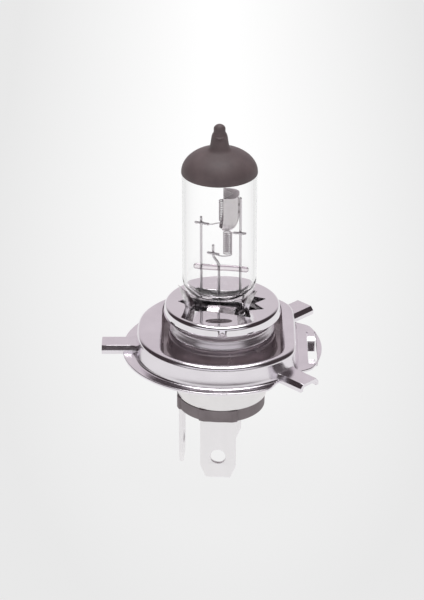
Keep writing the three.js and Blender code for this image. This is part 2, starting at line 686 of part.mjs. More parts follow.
// A blade, with its root inside the insulator a little thinner than the length that is plugged in.
function bladeGeometry({ angle }) {
  const half = BLADE_WIDTH / 2;
  const tab = BLADE_TAB_WIDTH / 2;
  const outline = [
    [-half + BLADE_CHAMFER_X, BLADE_TIP_Z],
    [half - BLADE_CHAMFER_X, BLADE_TIP_Z],
    [half, BLADE_TIP_Z + BLADE_CHAMFER_Z],
    [half, BLADE_SHOULDER_Z],
    [tab, BLADE_SHOULDER_Z],
    [tab, BLADE_TAB_TOP_Z],
    [-tab, BLADE_TAB_TOP_Z],
    [-tab, BLADE_SHOULDER_Z],
    [-half, BLADE_SHOULDER_Z],
    [-half, BLADE_TIP_Z + BLADE_CHAMFER_Z],
  ];
  const shape = new THREE.Shape(outline.map(([x, y]) => new THREE.Vector2(x, y)));
  shape.holes.push(new THREE.Path().absarc(0, BLADE_HOLE_Z, BLADE_HOLE_RADIUS, 0, 2 * Math.PI, true));
  const flat = new THREE.ExtrudeGeometry(shape, {
    depth: BLADE_THICKNESS,
    bevelEnabled: false,
    curveSegments: ROUND / 2,
  });
  flat.translate(0, 0, -BLADE_THICKNESS / 2).rotateX(Math.PI / 2).rotateZ(Math.PI / 2);
  const shaved = [-1, 1].map((side) => {
    const faceX = side * (BLADE_THICKNESS / 2 - BLADE_ROOT_STEP);
    const farX = side * BLADE_THICKNESS;
    const rootZ = INSULATOR_BOTTOM_Z - GAP;
    return block(Math.min(faceX, farX), Math.max(faceX, farX), -BLADE_WIDTH, BLADE_WIDTH, rootZ, 0);
  });
  return facing(cut(flat, ...shaved), angle);
}

function bladeSlot({ angle }) {
  const half = BLADE_WIDTH / 2 + GAP;
  const depth = BLADE_THICKNESS / 2 + GAP;
  const tab = BLADE_TAB_WIDTH / 2 + GAP;
  const wide = block(-depth, depth, -half, half, INSULATOR_BOTTOM_Z - PAST, BLADE_SHOULDER_Z + GAP);
  const narrow = block(-depth, depth, -tab, tab, BLADE_SHOULDER_Z - PAST, INSULATOR_TOP_Z + PAST);
  return facing(join(wide, narrow), angle);
}

function bladeBoss({ angle }) {
  const half = BLADE_WIDTH / 2 + BOSS_SIDE_WALL;
  const face = BLADE_THICKNESS / 2 + BOSS_FACE_WALL;
  return facing(block(-face, face, -half, half, INSULATOR_BOTTOM_Z, SHELL_LIP_Z - GAP), angle);
}

function insulator() {
  const plug = SHELL_RADIUS - SHELL_SHEET - GAP - Math.abs(CONNECTOR_OFFSET_X);
  const body = turned([
    [0, INSULATOR_BOTTOM_Z],
    [INSULATOR_BOTTOM_RADIUS - INSULATOR_EDGE_ROLL, INSULATOR_BOTTOM_Z],
    [INSULATOR_BOTTOM_RADIUS, INSULATOR_BOTTOM_Z + INSULATOR_EDGE_ROLL],
    [INSULATOR_TOP_RADIUS, SHELL_LIP_Z - GAP],
    [plug, SHELL_LIP_Z - GAP],
    [plug, INSULATOR_TOP_Z],
    [0, INSULATOR_TOP_Z],
  ]);
  const bossed = join(body, ...BLADES.map(bladeBoss));
  return piece("insulator", cut(bossed, ...BLADES.map(bladeSlot)), MOULDING());
}

// A wire from a foil's foot, bent across the base to the inner face of its blade's tab.
function outerLead({ lead, angle }, foilX) {
  const foot = point(foilX, 0, PINCH_BOTTOM_Z - 0.6)
    .applyAxisAngle(new THREE.Vector3(0, 0, 1), LAMP_TURN)
    .add(point(LAMP_OFFSET_X, 0, 0));
  const inPinch = [FOIL_BOTTOM_Z - GAP, (FOIL_BOTTOM_Z + PINCH_BOTTOM_Z) / 2, PINCH_BOTTOM_Z];
  const reach = BLADE_RADIUS - BLADE_THICKNESS / 2 - LEAD_DIAMETER / 2 - GAP;
  const turn = angle + CONNECTOR_TURN;
  const top = point(CONNECTOR_OFFSET_X, 0, BLADE_TAB_TOP_Z + 0.6)
    .add(point(reach * Math.cos(turn), reach * Math.sin(turn), 0));
  const low = top.clone().setZ(BLADE_TAB_TOP_Z - 1.5);
  const path = [...inPinch.map((z) => foot.clone().setZ(z)), foot, top, low];
  return piece(lead, wire(path, LEAD_DIAMETER, 20), MOLYBDENUM());
}

// ---- Assembly -----------------------------------------------------------------------------------

function lamp() {
  const group = new THREE.Group();
  group.position.x = LAMP_OFFSET_X;
  group.rotation.z = LAMP_TURN;
  group.add(glassEnvelope(), pinchSeal(), antiglareCap(), quartzBridge(), pinchClamp());
  group.add(straightPost("dipped_lead_post", DIPPED_POST), mainLeadPost());
  group.add(straightPost("common_lead_post", COMMON_POST));
  group.add(crossbar("dipped_filament_crossbar", DIPPED_POST));
  group.add(crossbar("main_filament_crossbar", MAIN_POST));
  group.add(crossbar("common_filament_crossbar", COMMON_POST));
  group.add(dippedFilament(), mainFilament(), dippedShield());
  group.add(sealFoil("dipped_foil", DIPPED_POST.x), sealFoil("main_foil", MAIN_POST.x));
  group.add(sealFoil("common_foil", COMMON_POST.x));
  return group;
}

function connector() {
  const group = new THREE.Group();
  group.position.x = CONNECTOR_OFFSET_X;
  group.rotation.z = CONNECTOR_TURN;
  group.add(insulator());
  BLADES.forEach((blade) => group.add(piece(blade.name, bladeGeometry(blade), SATIN())));
  return group;
}

const bulb = new THREE.Group();
bulb.add(lamp(), connector());
bulb.add(focusCollar(), innerSleeve(), mountingFlange(), baseShell());
const [mainBlade, commonBlade, dippedBlade] = BLADES;
bulb.add(outerLead(mainBlade, MAIN_POST.x));
bulb.add(outerLead(commonBlade, COMMON_POST.x));
bulb.add(outerLead(dippedBlade, DIPPED_POST.x));

export default bulb;
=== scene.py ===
"""A twin-filament halogen headlight bulb in a pale studio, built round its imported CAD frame.

Shapes are worked out in millimetres in the frame's own axes: +Z up the bulb's axis, Z = 0 at the tops of
the locating lugs, the reference lug along -X. They turn into metres where a mesh is made.
"""

import math

import bmesh
import bpy
from mathutils import Matrix, Vector
from mathutils.geometry import tessellate_polygon


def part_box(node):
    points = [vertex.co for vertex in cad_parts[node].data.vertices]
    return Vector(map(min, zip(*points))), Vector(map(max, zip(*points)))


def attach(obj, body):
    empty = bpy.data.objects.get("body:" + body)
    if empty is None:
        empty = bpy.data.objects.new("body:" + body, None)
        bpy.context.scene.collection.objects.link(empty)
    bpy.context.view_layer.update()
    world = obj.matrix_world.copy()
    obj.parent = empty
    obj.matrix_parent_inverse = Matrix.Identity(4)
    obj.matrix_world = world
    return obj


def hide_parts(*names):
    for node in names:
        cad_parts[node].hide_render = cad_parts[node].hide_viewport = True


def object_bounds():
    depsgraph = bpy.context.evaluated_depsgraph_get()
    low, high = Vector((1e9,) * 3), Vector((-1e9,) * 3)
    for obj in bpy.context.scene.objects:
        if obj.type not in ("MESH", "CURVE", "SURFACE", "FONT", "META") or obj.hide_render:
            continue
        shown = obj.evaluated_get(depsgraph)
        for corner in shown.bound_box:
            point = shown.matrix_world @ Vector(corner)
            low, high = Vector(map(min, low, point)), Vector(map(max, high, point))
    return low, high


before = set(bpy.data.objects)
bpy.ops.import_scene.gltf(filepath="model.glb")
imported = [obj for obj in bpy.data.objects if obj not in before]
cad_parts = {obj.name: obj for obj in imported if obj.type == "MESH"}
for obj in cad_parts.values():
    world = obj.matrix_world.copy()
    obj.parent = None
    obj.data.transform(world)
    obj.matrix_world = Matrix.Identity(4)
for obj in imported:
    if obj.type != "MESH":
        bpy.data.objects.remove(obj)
CAD_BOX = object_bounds()

# ---- Driving dimensions --------------------------------------------------------------------------

MM = 0.001
TAU = 2 * math.pi
QUARTER = math.pi / 2


def cad_box(node):
    """Lowest and highest corners of a CAD node, in millimetres."""
    low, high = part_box(node)
    return low / MM, high / MM


# Points round the turned and the pressed pieces.
ROUND = 256
GLASS_ROUND = 160
CAP_ROUND = 128
COLLAR_ROUND = 512
FLANGE_ROUND = 480
INSULATOR_ROUND = 720
SECTION_ROUND = 24

# The lamp sits a little off the base's axis and is turned in its collar; so is the connector end.
LAMP = Matrix.Translation((-0.6, 0, 0)) @ Matrix.Rotation(math.radians(-10), 4, "Z")
CONNECTOR = Matrix.Translation((-0.2, 0, 0)) @ Matrix.Rotation(math.radians(-4.5), 4, "Z")

BULB_RADIUS = 7.9
BULB_WALL = 0.75
DOME_BASE_Z = 40.0
DOME_HEIGHT = 5.0
SHOULDER_TOP_Z = 15.8
PINCH_TOP_Z = 11.1
CAVITY_Z = 12.2
CAVITY_TOP_Z = CAVITY_Z + 3.4
PINCH_BOTTOM_Z = cad_box("pinch_seal")[0].z
PINCH_HALF_WIDTH = 5.6
PINCH_HALF_THICKNESS = 2.1
PINCH_MIDDLE_Z = 6
PINCH_SQUARENESS = 4.5

CAP_EDGE_Z = cad_box("antiglare_cap")[0].z
CAP_TOP_Z = cad_box("antiglare_cap")[1].z + 0.25
CAP_OFFSET = 0.15
CAP_SHELL = 0.1
TIP_START_ANGLE = 58
TIP_WIDEST = 2.0
TIP_FOLD_Z = DOME_BASE_Z + 8.7
TIP_FOLD_DEPTH = 1.25
TIP_FOLD_TURN = 0.6
TIP_LIP_Z = TIP_FOLD_Z - 0.55
TIP_LIP_HEIGHT = 0.3
# The exhaust tip's radius at heights above the dome's base.
TIP_PROFILE = [(3.3, 4.72), (2.5, 5.08), (2.08, 5.6), (1.9, 6.3), (1.78, 7.1)]
TIP_PROFILE += [(1.68, 7.8), (1.54, 8.4), (1.3, 8.85), (1.22, 9.2), (1.22, 9.7)]

POST_DIAMETER = 0.55
POST_FOOT_Z = cad_box("dipped_lead_post")[0].z
DIPPED_POST_X = -3.95
MAIN_POST_X = -0.1
MAIN_POST_TOP_X = -1.35
COMMON_POST_X = 4.5
DIPPED_POST_TOP_Z = cad_box("dipped_lead_post")[1].z
MAIN_POST_TOP_Z = cad_box("main_lead_post")[1].z
COMMON_POST_TOP_Z = cad_box("common_lead_post")[1].z
CROSSBAR_DIAMETER = 0.55
CROSSBAR_Y = -0.56
CROSSBAR_WELD = (0.34, 0.34, 0.3)
# Each crossbar's middle, along X and Z, and its length.
DIPPED_BAR = (-3.65, 28.1, 2.7)
MAIN_BAR = (-1.25, 21.2, 2.2)
COMMON_BAR = (4.4, 26.4, 2.3)
# Each coil's axis along X, its radius and the heights of its two ends.
DIPPED_COIL = (0.6, 0.66, 28.6, 33.5)
MAIN_COIL = (1.75, 0.88, 21.0, 26.2)
COIL_PITCH = 0.42
COIL_WIRE_RADIUS = 0.12

BRIDGE_Z = 17.7
BRIDGE_DIAMETER = 1.25
BRIDGE_LENGTH = 10.7
BRIDGE_X = 0.3

SHIELD_X = 1.3
SHIELD_RADIUS = 2.85
SHIELD_WALL = 0.16
SHIELD_MOUTH_X = 1.3
SHIELD_BACK_LAP = 0.9
SHIELD_WELD = (0.16, 0.14, 0.42)
SHIELD_SCOOP_Z = 30.5
SHIELD_SCOOP_DEPTH = 3.8
SHIELD_TOP_Z = cad_box("dipped_beam_shield")[1].z

FOIL_WIDTH = 1.9
FOIL_HALF_THICKNESS = 0.055
FOIL_LOW_Z = cad_box("main_foil")[0].z
FOIL_HIGH_Z = cad_box("main_foil")[1].z

COLLAR_RADIUS = cad_box("focus_collar")[1].x
COLLAR_TOP_Z = cad_box("focus_collar")[1].z
COLLAR_BOTTOM_Z = cad_box("focus_collar")[0].z
COLLAR_SHEET = 0.6
COLLAR_ROLL = 1.0
COLLAR_LEAN = 0.22
STAR_HUB_RADIUS = 6.9
STAR_TIP_RADIUS = 9.5
TONGUE_HALF_WIDTH = 3.9
TONGUE_TURN = math.radians(-10)
# Each side of the star opening: its start on one tongue, its tips' angles and its end on the other tongue.
STAR_SIDES = (
    ((TONGUE_HALF_WIDTH, -5.6), (-51, -21, 9, 39), (TONGUE_HALF_WIDTH, 2.6)),
    ((-TONGUE_HALF_WIDTH, 2.6), (149, 178, 221), (-5.6, -4.3)),
)
STAR_FILLET = 0.12
BEAD_CENTRE = (-0.75, -9.1)
BEAD_HALF_SIZE = (3.5, 1.3)
BEAD_HEIGHT = 0.2
NOTCH_RADIUS = 1.0
LEAF_HALF_SHEET = 0.13
LEAF_CROWN = 0.35

SLEEVE_RADIUS = 10.8
SLEEVE_SHEET = 0.5
SWELL_Z = 3.4
SWELL_DEPTH = 0.62
GROOVE_Z = SWELL_Z + 1.9
GROOVE_DEPTH = 0.12
SLEEVE_BOTTOM_Z = cad_box("inner_sleeve")[0].z
SLEEVE_TOP_Z = cad_box("inner_sleeve")[1].z

DOME_RADIUS = 18.9
RIGHT_CHORD = 15.8
LEFT_CHORD = 18.7
FLANGE_TOP_Z = cad_box("mounting_flange")[1].z
FLANGE_SHEET = 0.7
SHOULDER_ROLL = 1.1
RIM_RADIUS = cad_box("mounting_flange")[1].x
RIM_TOP_Z = -1.3
RIM_BOTTOM_Z = -1.9
RIM_NECK_RADIUS = 19.75
RIM_ROLL = 0.2
RIM_UNDER_ROLL = 0.12
WELL_RADIUS = 17.3
WELL_FLAT = 12.9
WELL_FLOOR_Z = -1.2
WELL_LIP = 0.45
WELL_TOP_Z = FLANGE_TOP_Z - WELL_LIP - 0.1
CREASE = 0.5
WALL_LEAN = 0.5
NECK_RADIUS = 11.6
NECK_BORE = 10.95
NECK_TOP_Z = 2.4
LUG_ANGLES = [math.radians(a) for a in (180, 45, -45)]
LUG_TIP_RADIUS = -cad_box("mounting_flange")[0].x
LUG_ROOT_RADIUS = 18.2
LUG_FLARE_LENGTH = 2.4
LUG_FLARE_WIDTH = 0.6
LUG_FLARE_RISE = 0.15
LUG_HALF_WIDTH = 2.75
LUG_DEPTH = 1.7
LUG_SHEET = 0.7
LUG_SLOPE = 0.75
LUG_SHOULDER = 0.85
CLIP_SLOT = ((18.4, -7.9), (20.3, 6.9))

SHELL_RADIUS = 9.65
SHELL_TOP_RADIUS = 10.1
SHELL_SHEET = 0.4
SHELL_GAP = 0.3
SHELL_TOP_Z = cad_box("base_shell")[1].z
SHELL_LIP_Z = cad_box("base_shell")[0].z
INSULATOR_TOP_Z = cad_box("insulator")[1].z
INSULATOR_BOTTOM_Z = cad_box("insulator")[0].z
INSULATOR_BOTTOM_RADIUS = 9.45
INSULATOR_TOP_RADIUS = 9.55

BLADE_ANGLES = [-QUARTER, QUARTER, math.pi]
BLADE_WIDTH = 7.7
BLADE_THICKNESS = 0.8
BLADE_RADIUS = 8.5
BOSS_FACE = BLADE_RADIUS + BLADE_THICKNESS / 2 + 0.45
BOSS_HALF_WIDTH = BLADE_WIDTH / 2 + 0.35
BOSS_RADIUS = 9.85
BLADE_TIP_Z = cad_box("main_beam_blade")[0].z
BLADE_SHOULDER_Z = -12.5
BLADE_CHAMFER_X = 1.2
BLADE_CHAMFER_Z = 2.9
BLADE_HOLE_RADIUS = 1.65
BLADE_HOLE_Z = -23.6


# ---- Outline helpers -----------------------------------------------------------------------------


def lerp(a, b, t):
    return a + (b - a) * t


def fractions(count, first=0):
    """Even shares of the way from 0 to 1, both ends included unless the first one is left out."""
    return [k / count for k in range(first, count + 1)]


def angles_round(count):
    """Even steps round a full turn."""
    return [TAU * k / count for k in range(count)]


def ease(t):
    t = min(max(t, 0.0), 1.0)
    return t * t * (3 - 2 * t)


def bump(distance, width):
    """A smooth hill, 1 at no distance."""
    return math.exp(-((distance / width) ** 2))


def angle_between(a, b):
    return abs((a - b + math.pi) % TAU - math.pi)


def rounded(corners, closed=True, steps=6):
    """An outline through (x, y, fillet radius) corners, with its corners rounded."""
    points = []
    count = len(corners)
    for i, (x, y, fillet) in enumerate(corners):
        here = Vector((x, y))
        if fillet == 0 or (not closed and i in (0, count - 1)):
            points.append(here)
            continue
        back = Vector(corners[i - 1][:2]) - here
        ahead = Vector(corners[(i + 1) % count][:2]) - here
        half = back.angle(ahead) / 2
        reach = min(fillet / math.tan(half), 0.49 * back.length, 0.49 * ahead.length)
        start = here + back.normalized() * reach
        end = here + ahead.normalized() * reach
        middle = (back.normalized() + ahead.normalized()).normalized()
        centre = here + middle * (reach / math.cos(half))
        first, last = start - centre, end - centre
        turn = first.angle(last)
        for t in fractions(steps):
            arm = first * math.sin((1 - t) * turn) + last * math.sin(t * turn)
            points.append(centre + arm / math.sin(turn))
    return points


def offset_outline(points, distance):
    """A counterclockwise outline moved outwards by a distance, its corners kept sharp."""
    shifted = []
    for i, here in enumerate(points):
        back = (here - points[i - 1]).normalized()
        ahead = (points[(i + 1) % len(points)] - here).normalized()
        normal_a = Vector((back.y, -back.x))
        normal_b = Vector((ahead.y, -ahead.x))
        miter = (normal_a + normal_b).normalized()
        shifted.append(here + miter * distance / max(miter.dot(normal_a), 0.3))
    return shifted


def smooth_path(points, steps=12):
    """A Catmull-Rom line through points."""
    points = [Vector(p) for p in points]
    ends = [2 * points[0] - points[1], *points, 2 * points[-1] - points[-2]]
    path = []
    for a, b, c, d in zip(ends, ends[1:], ends[2:], ends[3:]):
        slope, bend, twist = c - a, 2 * a - 5 * b + 4 * c - d, 3 * b - a - 3 * c + d
        for t in fractions(steps)[:-1]:
            path.append(0.5 * (2 * b + slope * t + bend * t**2 + twist * t**3))
    return [*path, points[-1]]


def chorded(angle, radius, right, left):
    """Radius of a disc with a straight chord on each side, its corners eased."""
    sharpness = 24
    side = right if math.cos(angle) > 0 else left
    chord = side / max(abs(math.cos(angle)), 1e-3)
    return (radius**-sharpness + chord**-sharpness) ** (-1 / sharpness)


def flattened(angle, half_x, half_y, squareness):
    """Radius of a rounded flat section with the given half sizes."""
    x = abs(math.cos(angle) / half_x) ** squareness
    y = abs(math.sin(angle) / half_y) ** squareness
    return (x + y) ** (-1 / squareness)


# ---- Skins: a list of points and a list of faces -------------------------------------------------


def ring(z, radius_at, count=ROUND):
    """Points round Z; the height and the radius are numbers or functions of the angle."""
    points = []
    for angle in angles_round(count):
        radius = radius_at(angle) if callable(radius_at) else radius_at
        height = z(angle) if callable(z) else z
        points.append(Vector((radius * math.cos(angle), radius * math.sin(angle), height)))
    return points


def section(centre, across, up, count, radius_at=1.0):
    """Points round a centre in the plane of two arms; the radius is a number or a function of the angle."""
    points = []
    for angle in angles_round(count):
        radius = radius_at(angle) if callable(radius_at) else radius_at
        points.append(centre + radius * (math.cos(angle) * across + math.sin(angle) * up))
    return points


def ring_numbers(number, count, start=0):
    """The point numbers of one ring of a skin."""
    first = start + number * count
    return list(range(first, first + count))


def skin(rings, wrap=False, low_cap=False, high_cap=False):
    """A surface over rings with the same number of points; wrap joins the last ring to the first."""
    count = len(rings[0])
    points = [p for r in rings for p in r]
    faces = []
    for k in range(len(rings) if wrap else len(rings) - 1):
        a, b = k * count, ((k + 1) % len(rings)) * count
        for i in range(count):
            j = (i + 1) % count
            faces.append((a + i, a + j, b + j, b + i))
    if low_cap:
        centre = len(points)
        points.append(sum(rings[0], Vector()) / count)
        faces += [(centre, (i + 1) % count, i) for i in range(count)]
    if high_cap:
        centre = len(points)
        top = (len(rings) - 1) * count
        points.append(sum(rings[-1], Vector()) / count)
        faces += [(centre, top + i, top + (i + 1) % count) for i in range(count)]
    return points, faces


def merged(*skins):
    points, faces = [], []
    for more_points, more_faces in skins:
        start = len(points)
        points += more_points
        faces += [tuple(start + i for i in face) for face in more_faces]
    return points, faces


def moved(shape, matrix):
    points, faces = shape
    return [matrix @ Vector(p) for p in points], faces


def inside_out(shape):
    points, faces = shape
    return points, [tuple(reversed(face)) for face in faces]


def turned(profile):
    """A hollow piece turned about Z from the (radius, height) points of its closed outline."""
    return skin([ring(z, r) for r, z in profile], wrap=True)


def sheet_wall(points, faces, outline, rows):
    """Adds a sheet's edge along an outline, from (inset, height) rows, and returns its two end loops."""
    loops = []
    for inset, z in rows:
        loops.append(ring_numbers(0, len(outline), len(points)))
        points += [Vector((p.x, p.y, z)) for p in offset_outline(outline, inset)]
    for a, b in zip(loops, loops[1:]):
        for i in range(len(outline)):
            j = (i + 1) % len(outline)
            faces.append((a[i], b[i], b[j], a[j]))
    return loops[0], loops[-1]


def plate(outer, holes, low_z, high_z, edge=0.1, steps=3):
    """A flat sheet with rounded edges, from counterclockwise outlines seen from above."""
    points, faces = [], []
    low_loops, high_loops = [], []
    for outline, side in [(outer, -1)] + [(hole, 1) for hole in holes]:
        rows = []
        for middle_z, quarters in ((low_z + edge, 0), (high_z - edge, 1)):
            for t in fractions(steps):
                angle = QUARTER * (quarters + t)
                rows.append((side * edge * (1 - math.sin(angle)), middle_z - edge * math.cos(angle)))
        low, high = sheet_wall(points, faces, outline, rows)
        low_loops.append(low)
        high_loops.append(high)
    faces += filled(points, low_loops) + filled(points, high_loops)
    return points, faces


def filled(points, loops):
    """Faces that fill the flat area between an outline and its holes, given as lists of point numbers."""
    flat = [index for loop in loops for index in loop]
    triangles = tessellate_polygon([[points[i] for i in loop] for loop in loops])
    return [tuple(flat[i] for i in triangle) for triangle in triangles]


def tube(path, radius, sides=16):
    """A round wire with rounded ends along a path."""
    path = [Vector(p) for p in path]
    last = len(path) - 1
    tangents = [(path[min(i + 1, last)] - path[max(i - 1, 0)]).normalized() for i in range(last + 1)]
    side = tangents[0].orthogonal().normalized()
    rings = []
    for i, (centre, tangent) in enumerate(zip(path, tangents)):
        side = (side - tangent * side.dot(tangent)).normalized()
        up = tangent.cross(side)
        start = (-75, -50, -25) if i == 0 else ()
        end = (25, 50, 75) if i == last else ()
        for degrees in (*start, 0, *end):
            angle = math.radians(degrees)
            middle = centre + tangent * radius * math.sin(angle)
            rings.append(section(middle, side, up, sides, radius * math.cos(angle)))
    return skin(rings, low_cap=True, high_cap=True)


def ball(centre, size, sides=16):
    """A weld blob: an ellipsoid with three half sizes."""
    rings = []
    for k in range(1, sides // 2):
        angle = math.pi * k / (sides // 2) - QUARTER
        middle = Vector(centre) + Vector((0, 0, size[2] * math.sin(angle)))
        across = Vector((size[0] * math.cos(angle), 0, 0))
        up = Vector((0, size[1] * math.cos(angle), 0))
        rings.append(section(middle, across, up, sides))
    return skin(rings, low_cap=True, high_cap=True)


def piece(name, shape, material, nodes, place=None, sharp=38, outward=True):
    """Makes one visible piece, which rides on the bulb and stands for its CAD nodes."""
    points, faces = moved(shape, place) if place else shape
    mesh = bpy.data.meshes.new(name)
    mesh.from_pydata([Vector(p) * MM for p in points], [], faces)
    if outward:
        work = bmesh.new()
        work.from_mesh(mesh)
        bmesh.ops.remove_doubles(work, verts=work.verts, dist=1e-8)
        bmesh.ops.recalc_face_normals(work, faces=work.faces)
        work.to_mesh(mesh)
        work.free()
    mesh.shade_smooth()
    mesh.set_sharp_from_angle(angle=math.radians(sharp))
    mesh.validate()
    obj = bpy.data.objects.new(name, mesh)
    bpy.context.scene.collection.objects.link(obj)
    weights = obj.modifiers.new("face_weights", "WEIGHTED_NORMAL")
    weights.keep_sharp = True
    mesh.materials.append(material)
    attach(obj, "root")
    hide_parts(*nodes)
    return obj


# ---- Materials -----------------------------------------------------------------------------------

# The range that a noise pattern mostly keeps to.
PATTERN_LOW, PATTERN_HIGH = 0.3, 0.7


def set_inputs(tree, node, inputs):
    """Sets a node's inputs; one that is given another node's output is linked to it."""
    for name, value in inputs.items():
        if isinstance(value, bpy.types.NodeSocket):
            tree.links.new(value, node.inputs[name])
        else:
            node.inputs[name].default_value = value


def add_node(tree, kind, inputs=None, **settings):
    node = tree.nodes.new("ShaderNode" + kind)
    for name, value in settings.items():
        setattr(node, name, value)
    set_inputs(tree, node, inputs or {})
    return node


def new_material(name):
    """A material, its node tree and its main shader."""
    material = bpy.data.materials.new(name)
    material.use_nodes = True
    return material, material.node_tree, material.node_tree.nodes["Principled BSDF"]


def noise(tree, scale, detail, stretch=(1, 1, 1)):
    """A noise pattern in the piece's own space; scale counts its grains per metre."""
    where = add_node(tree, "TexCoord").outputs["Object"]
    stretched = add_node(tree, "Mapping", {"Vector": where, "Scale": stretch}).outputs["Vector"]
    pattern = {"Vector": stretched, "Scale": scale, "Detail": detail}
    return add_node(tree, "TexNoise", pattern).outputs["Fac"]


def spread(tree, pattern, low, high):
    """Maps a pattern's middle range onto values from low to high."""
    limits = {"From Min": PATTERN_LOW, "From Max": PATTERN_HIGH, "To Min": low, "To Max": high}
    return add_node(tree, "MapRange", {"Value": pattern, **limits}).outputs["Result"]


def ramp(tree, factor, stops, interpolation="LINEAR"):
    """Colours along a factor, from (position, colour) stops."""
    node = add_node(tree, "ValToRGB", {"Fac": factor})
    node.color_ramp.interpolation = interpolation
    elements = node.color_ramp.elements
    while len(elements) < len(stops):
        elements.new(0.5)
    for element, (position, colour) in zip(elements, stops):
        element.position = position
        element.color = (*colour, 1)
    return node.outputs["Color"]


def tinted(tree, pattern, dark, light):
    return ramp(tree, pattern, [(PATTERN_LOW, dark), (PATTERN_HIGH, light)])


def relief(tree, pattern, depth, strength=0.3):
    """A surface's bumps by a pattern, depth in metres."""
    bumps = {"Height": pattern, "Distance": depth, "Strength": strength}
    return add_node(tree, "Bump", bumps).outputs["Normal"]


def metal(name, dark, light, smooth, rough, grain=900.0, depth=2e-6, stretch=(1, 1, 1), metallic=1.0):
    """A plated or drawn metal: slightly patchy colour and polish, and a fine relief."""
    material, tree, shader = new_material(name)
    cloud = noise(tree, grain / 4, 4.0, stretch)
    looks = {
        "Metallic": metallic,
        "Base Color": tinted(tree, cloud, dark, light),
        "Roughness": spread(tree, cloud, smooth, rough),
        "Normal": relief(tree, noise(tree, grain * 2, 2.0, stretch), depth),
    }
    set_inputs(tree, shader, looks)
    return material


def quartz(name, refraction, tint=(1, 1, 1)):
    """Clear drawn glass with faint waves along its length."""
    material, tree, shader = new_material(name)
    waves = noise(tree, 160.0, 1.0, (1, 1, 0.25))
    looks = {
        "Base Color": (*tint, 1),
        "Transmission Weight": 1,
        "IOR": refraction,
        "Roughness": spread(tree, waves, 0.0, 0.015),
        "Normal": relief(tree, waves, 6e-6, 0.15),
    }
    set_inputs(tree, shader, looks)
    return material


def matte(name, dark, light, rough, cloud_scale, cloud_detail, grain, depth, strength, specular=0.5):
    """A dull surface with a cloudy colour and a fine grain."""
    material, tree, shader = new_material(name)
    cloud = noise(tree, cloud_scale, cloud_detail)
    looks = {
        "Base Color": tinted(tree, cloud, dark, light),
        "Roughness": spread(tree, cloud, *rough),
        "Specular IOR Level": specular,
        "Normal": relief(tree, noise(tree, grain, 3.0), depth, strength),
    }
    set_inputs(tree, shader, looks)
    return material


QUARTZ = quartz("quartz_glass", 1.2)
ROD_QUARTZ = quartz("quartz_rod_glass", 1.46, (0.82, 0.77, 0.8))
COATING_TONES = (0.118, 0.088, 0.09), (0.172, 0.13, 0.132)
COATING = matte("fired_coating", *COATING_TONES, (0.5, 0.62), 260.0, 5.0, 5200.0, 1.2e-5, 0.35, 0.45)
MOULDING_TONES = (0.215, 0.18, 0.188), (0.29, 0.25, 0.26)
MOULDING = matte("moulded_insulator", *MOULDING_TONES, (0.5, 0.68), 300.0, 4.0, 4200.0, 2.5e-5, 0.4)
COLLAR_METAL = metal("collar_nickel", (0.9, 0.87, 0.9), (0.95, 0.92, 0.95), 0.03, 0.07, 500.0, 6e-7)
# Painted shade: a darker, less metallic copy of the flange's nickel for the well and its neck, standing for
# the shade under the collar.
WELL_SHADE_TONES = (0.4, 0.34, 0.36), (0.56, 0.49, 0.52)
WELL_SHADE_METAL = metal("nickel_painted_shade", *WELL_SHADE_TONES, 0.16, 0.3, 700.0, 1.5e-6, metallic=0.5)
# Dark tones shared by two pieces: on the shield's weld spots they are the welds' own dark marks; on the
# collar's pressed bead they are painted shade on what is really the collar's nickel.
SHADE_AND_WELD_TONES = (0.1, 0.08, 0.088), (0.18, 0.15, 0.16)
SHADE_AND_WELD_METAL = metal("weld_mark_and_painted_shade_nickel", *SHADE_AND_WELD_TONES, 0.2, 0.3, 700.0, 1.5e-6, metallic=0.6)
FLANGE_METAL = metal("flange_nickel", (0.86, 0.82, 0.86), (0.93, 0.89, 0.93), 0.15, 0.22, 700.0, 1.5e-6)
LEAF_METAL = metal("leaf_steel", (0.3, 0.27, 0.28), (0.97, 0.94, 0.96), 0.1, 0.2, 2600.0, 6e-5)
SPRING_TONES = (0.66, 0.62, 0.65), (0.84, 0.79, 0.83)
SPRING_METAL = metal("spring_steel", *SPRING_TONES, 0.16, 0.26, 800.0, 2e-6, metallic=0.78)
CLAMP_METAL = metal("clamp_steel", (0.72, 0.68, 0.71), (0.86, 0.83, 0.86), 0.12, 0.24, 900.0, 5e-6)
SHELL_TONES = (0.86, 0.84, 0.84), (0.93, 0.91, 0.91)
SHELL_METAL = metal("satin_nickel", *SHELL_TONES, 0.3, 0.42, 1100.0, 4e-6, (1, 1, 0.2))
BLADE_TONES = (0.9, 0.88, 0.89), (0.96, 0.94, 0.95)
BLADE_METAL = metal("blade_metal", *BLADE_TONES, 0.28, 0.42, 1300.0, 3e-6, (1, 1, 0.15))
MOLYBDENUM = metal("molybdenum", (0.7, 0.67, 0.69), (0.82, 0.79, 0.81), 0.25, 0.4, 1600.0, 2e-6, (1, 1, 0.3))
SHIELD_TONES = (0.82, 0.78, 0.79), (0.9, 0.86, 0.87)
SHIELD_METAL = metal("shield_metal", *SHIELD_TONES, 0.3, 0.45, 1200.0, 3e-6, metallic=0.7)
TUNGSTEN = metal("tungsten", (0.7, 0.66, 0.68), (0.86, 0.82, 0.84), 0.3, 0.45, 2500.0, 2e-6)


# ---- Glass ---------------------------------------------------------------------------------------


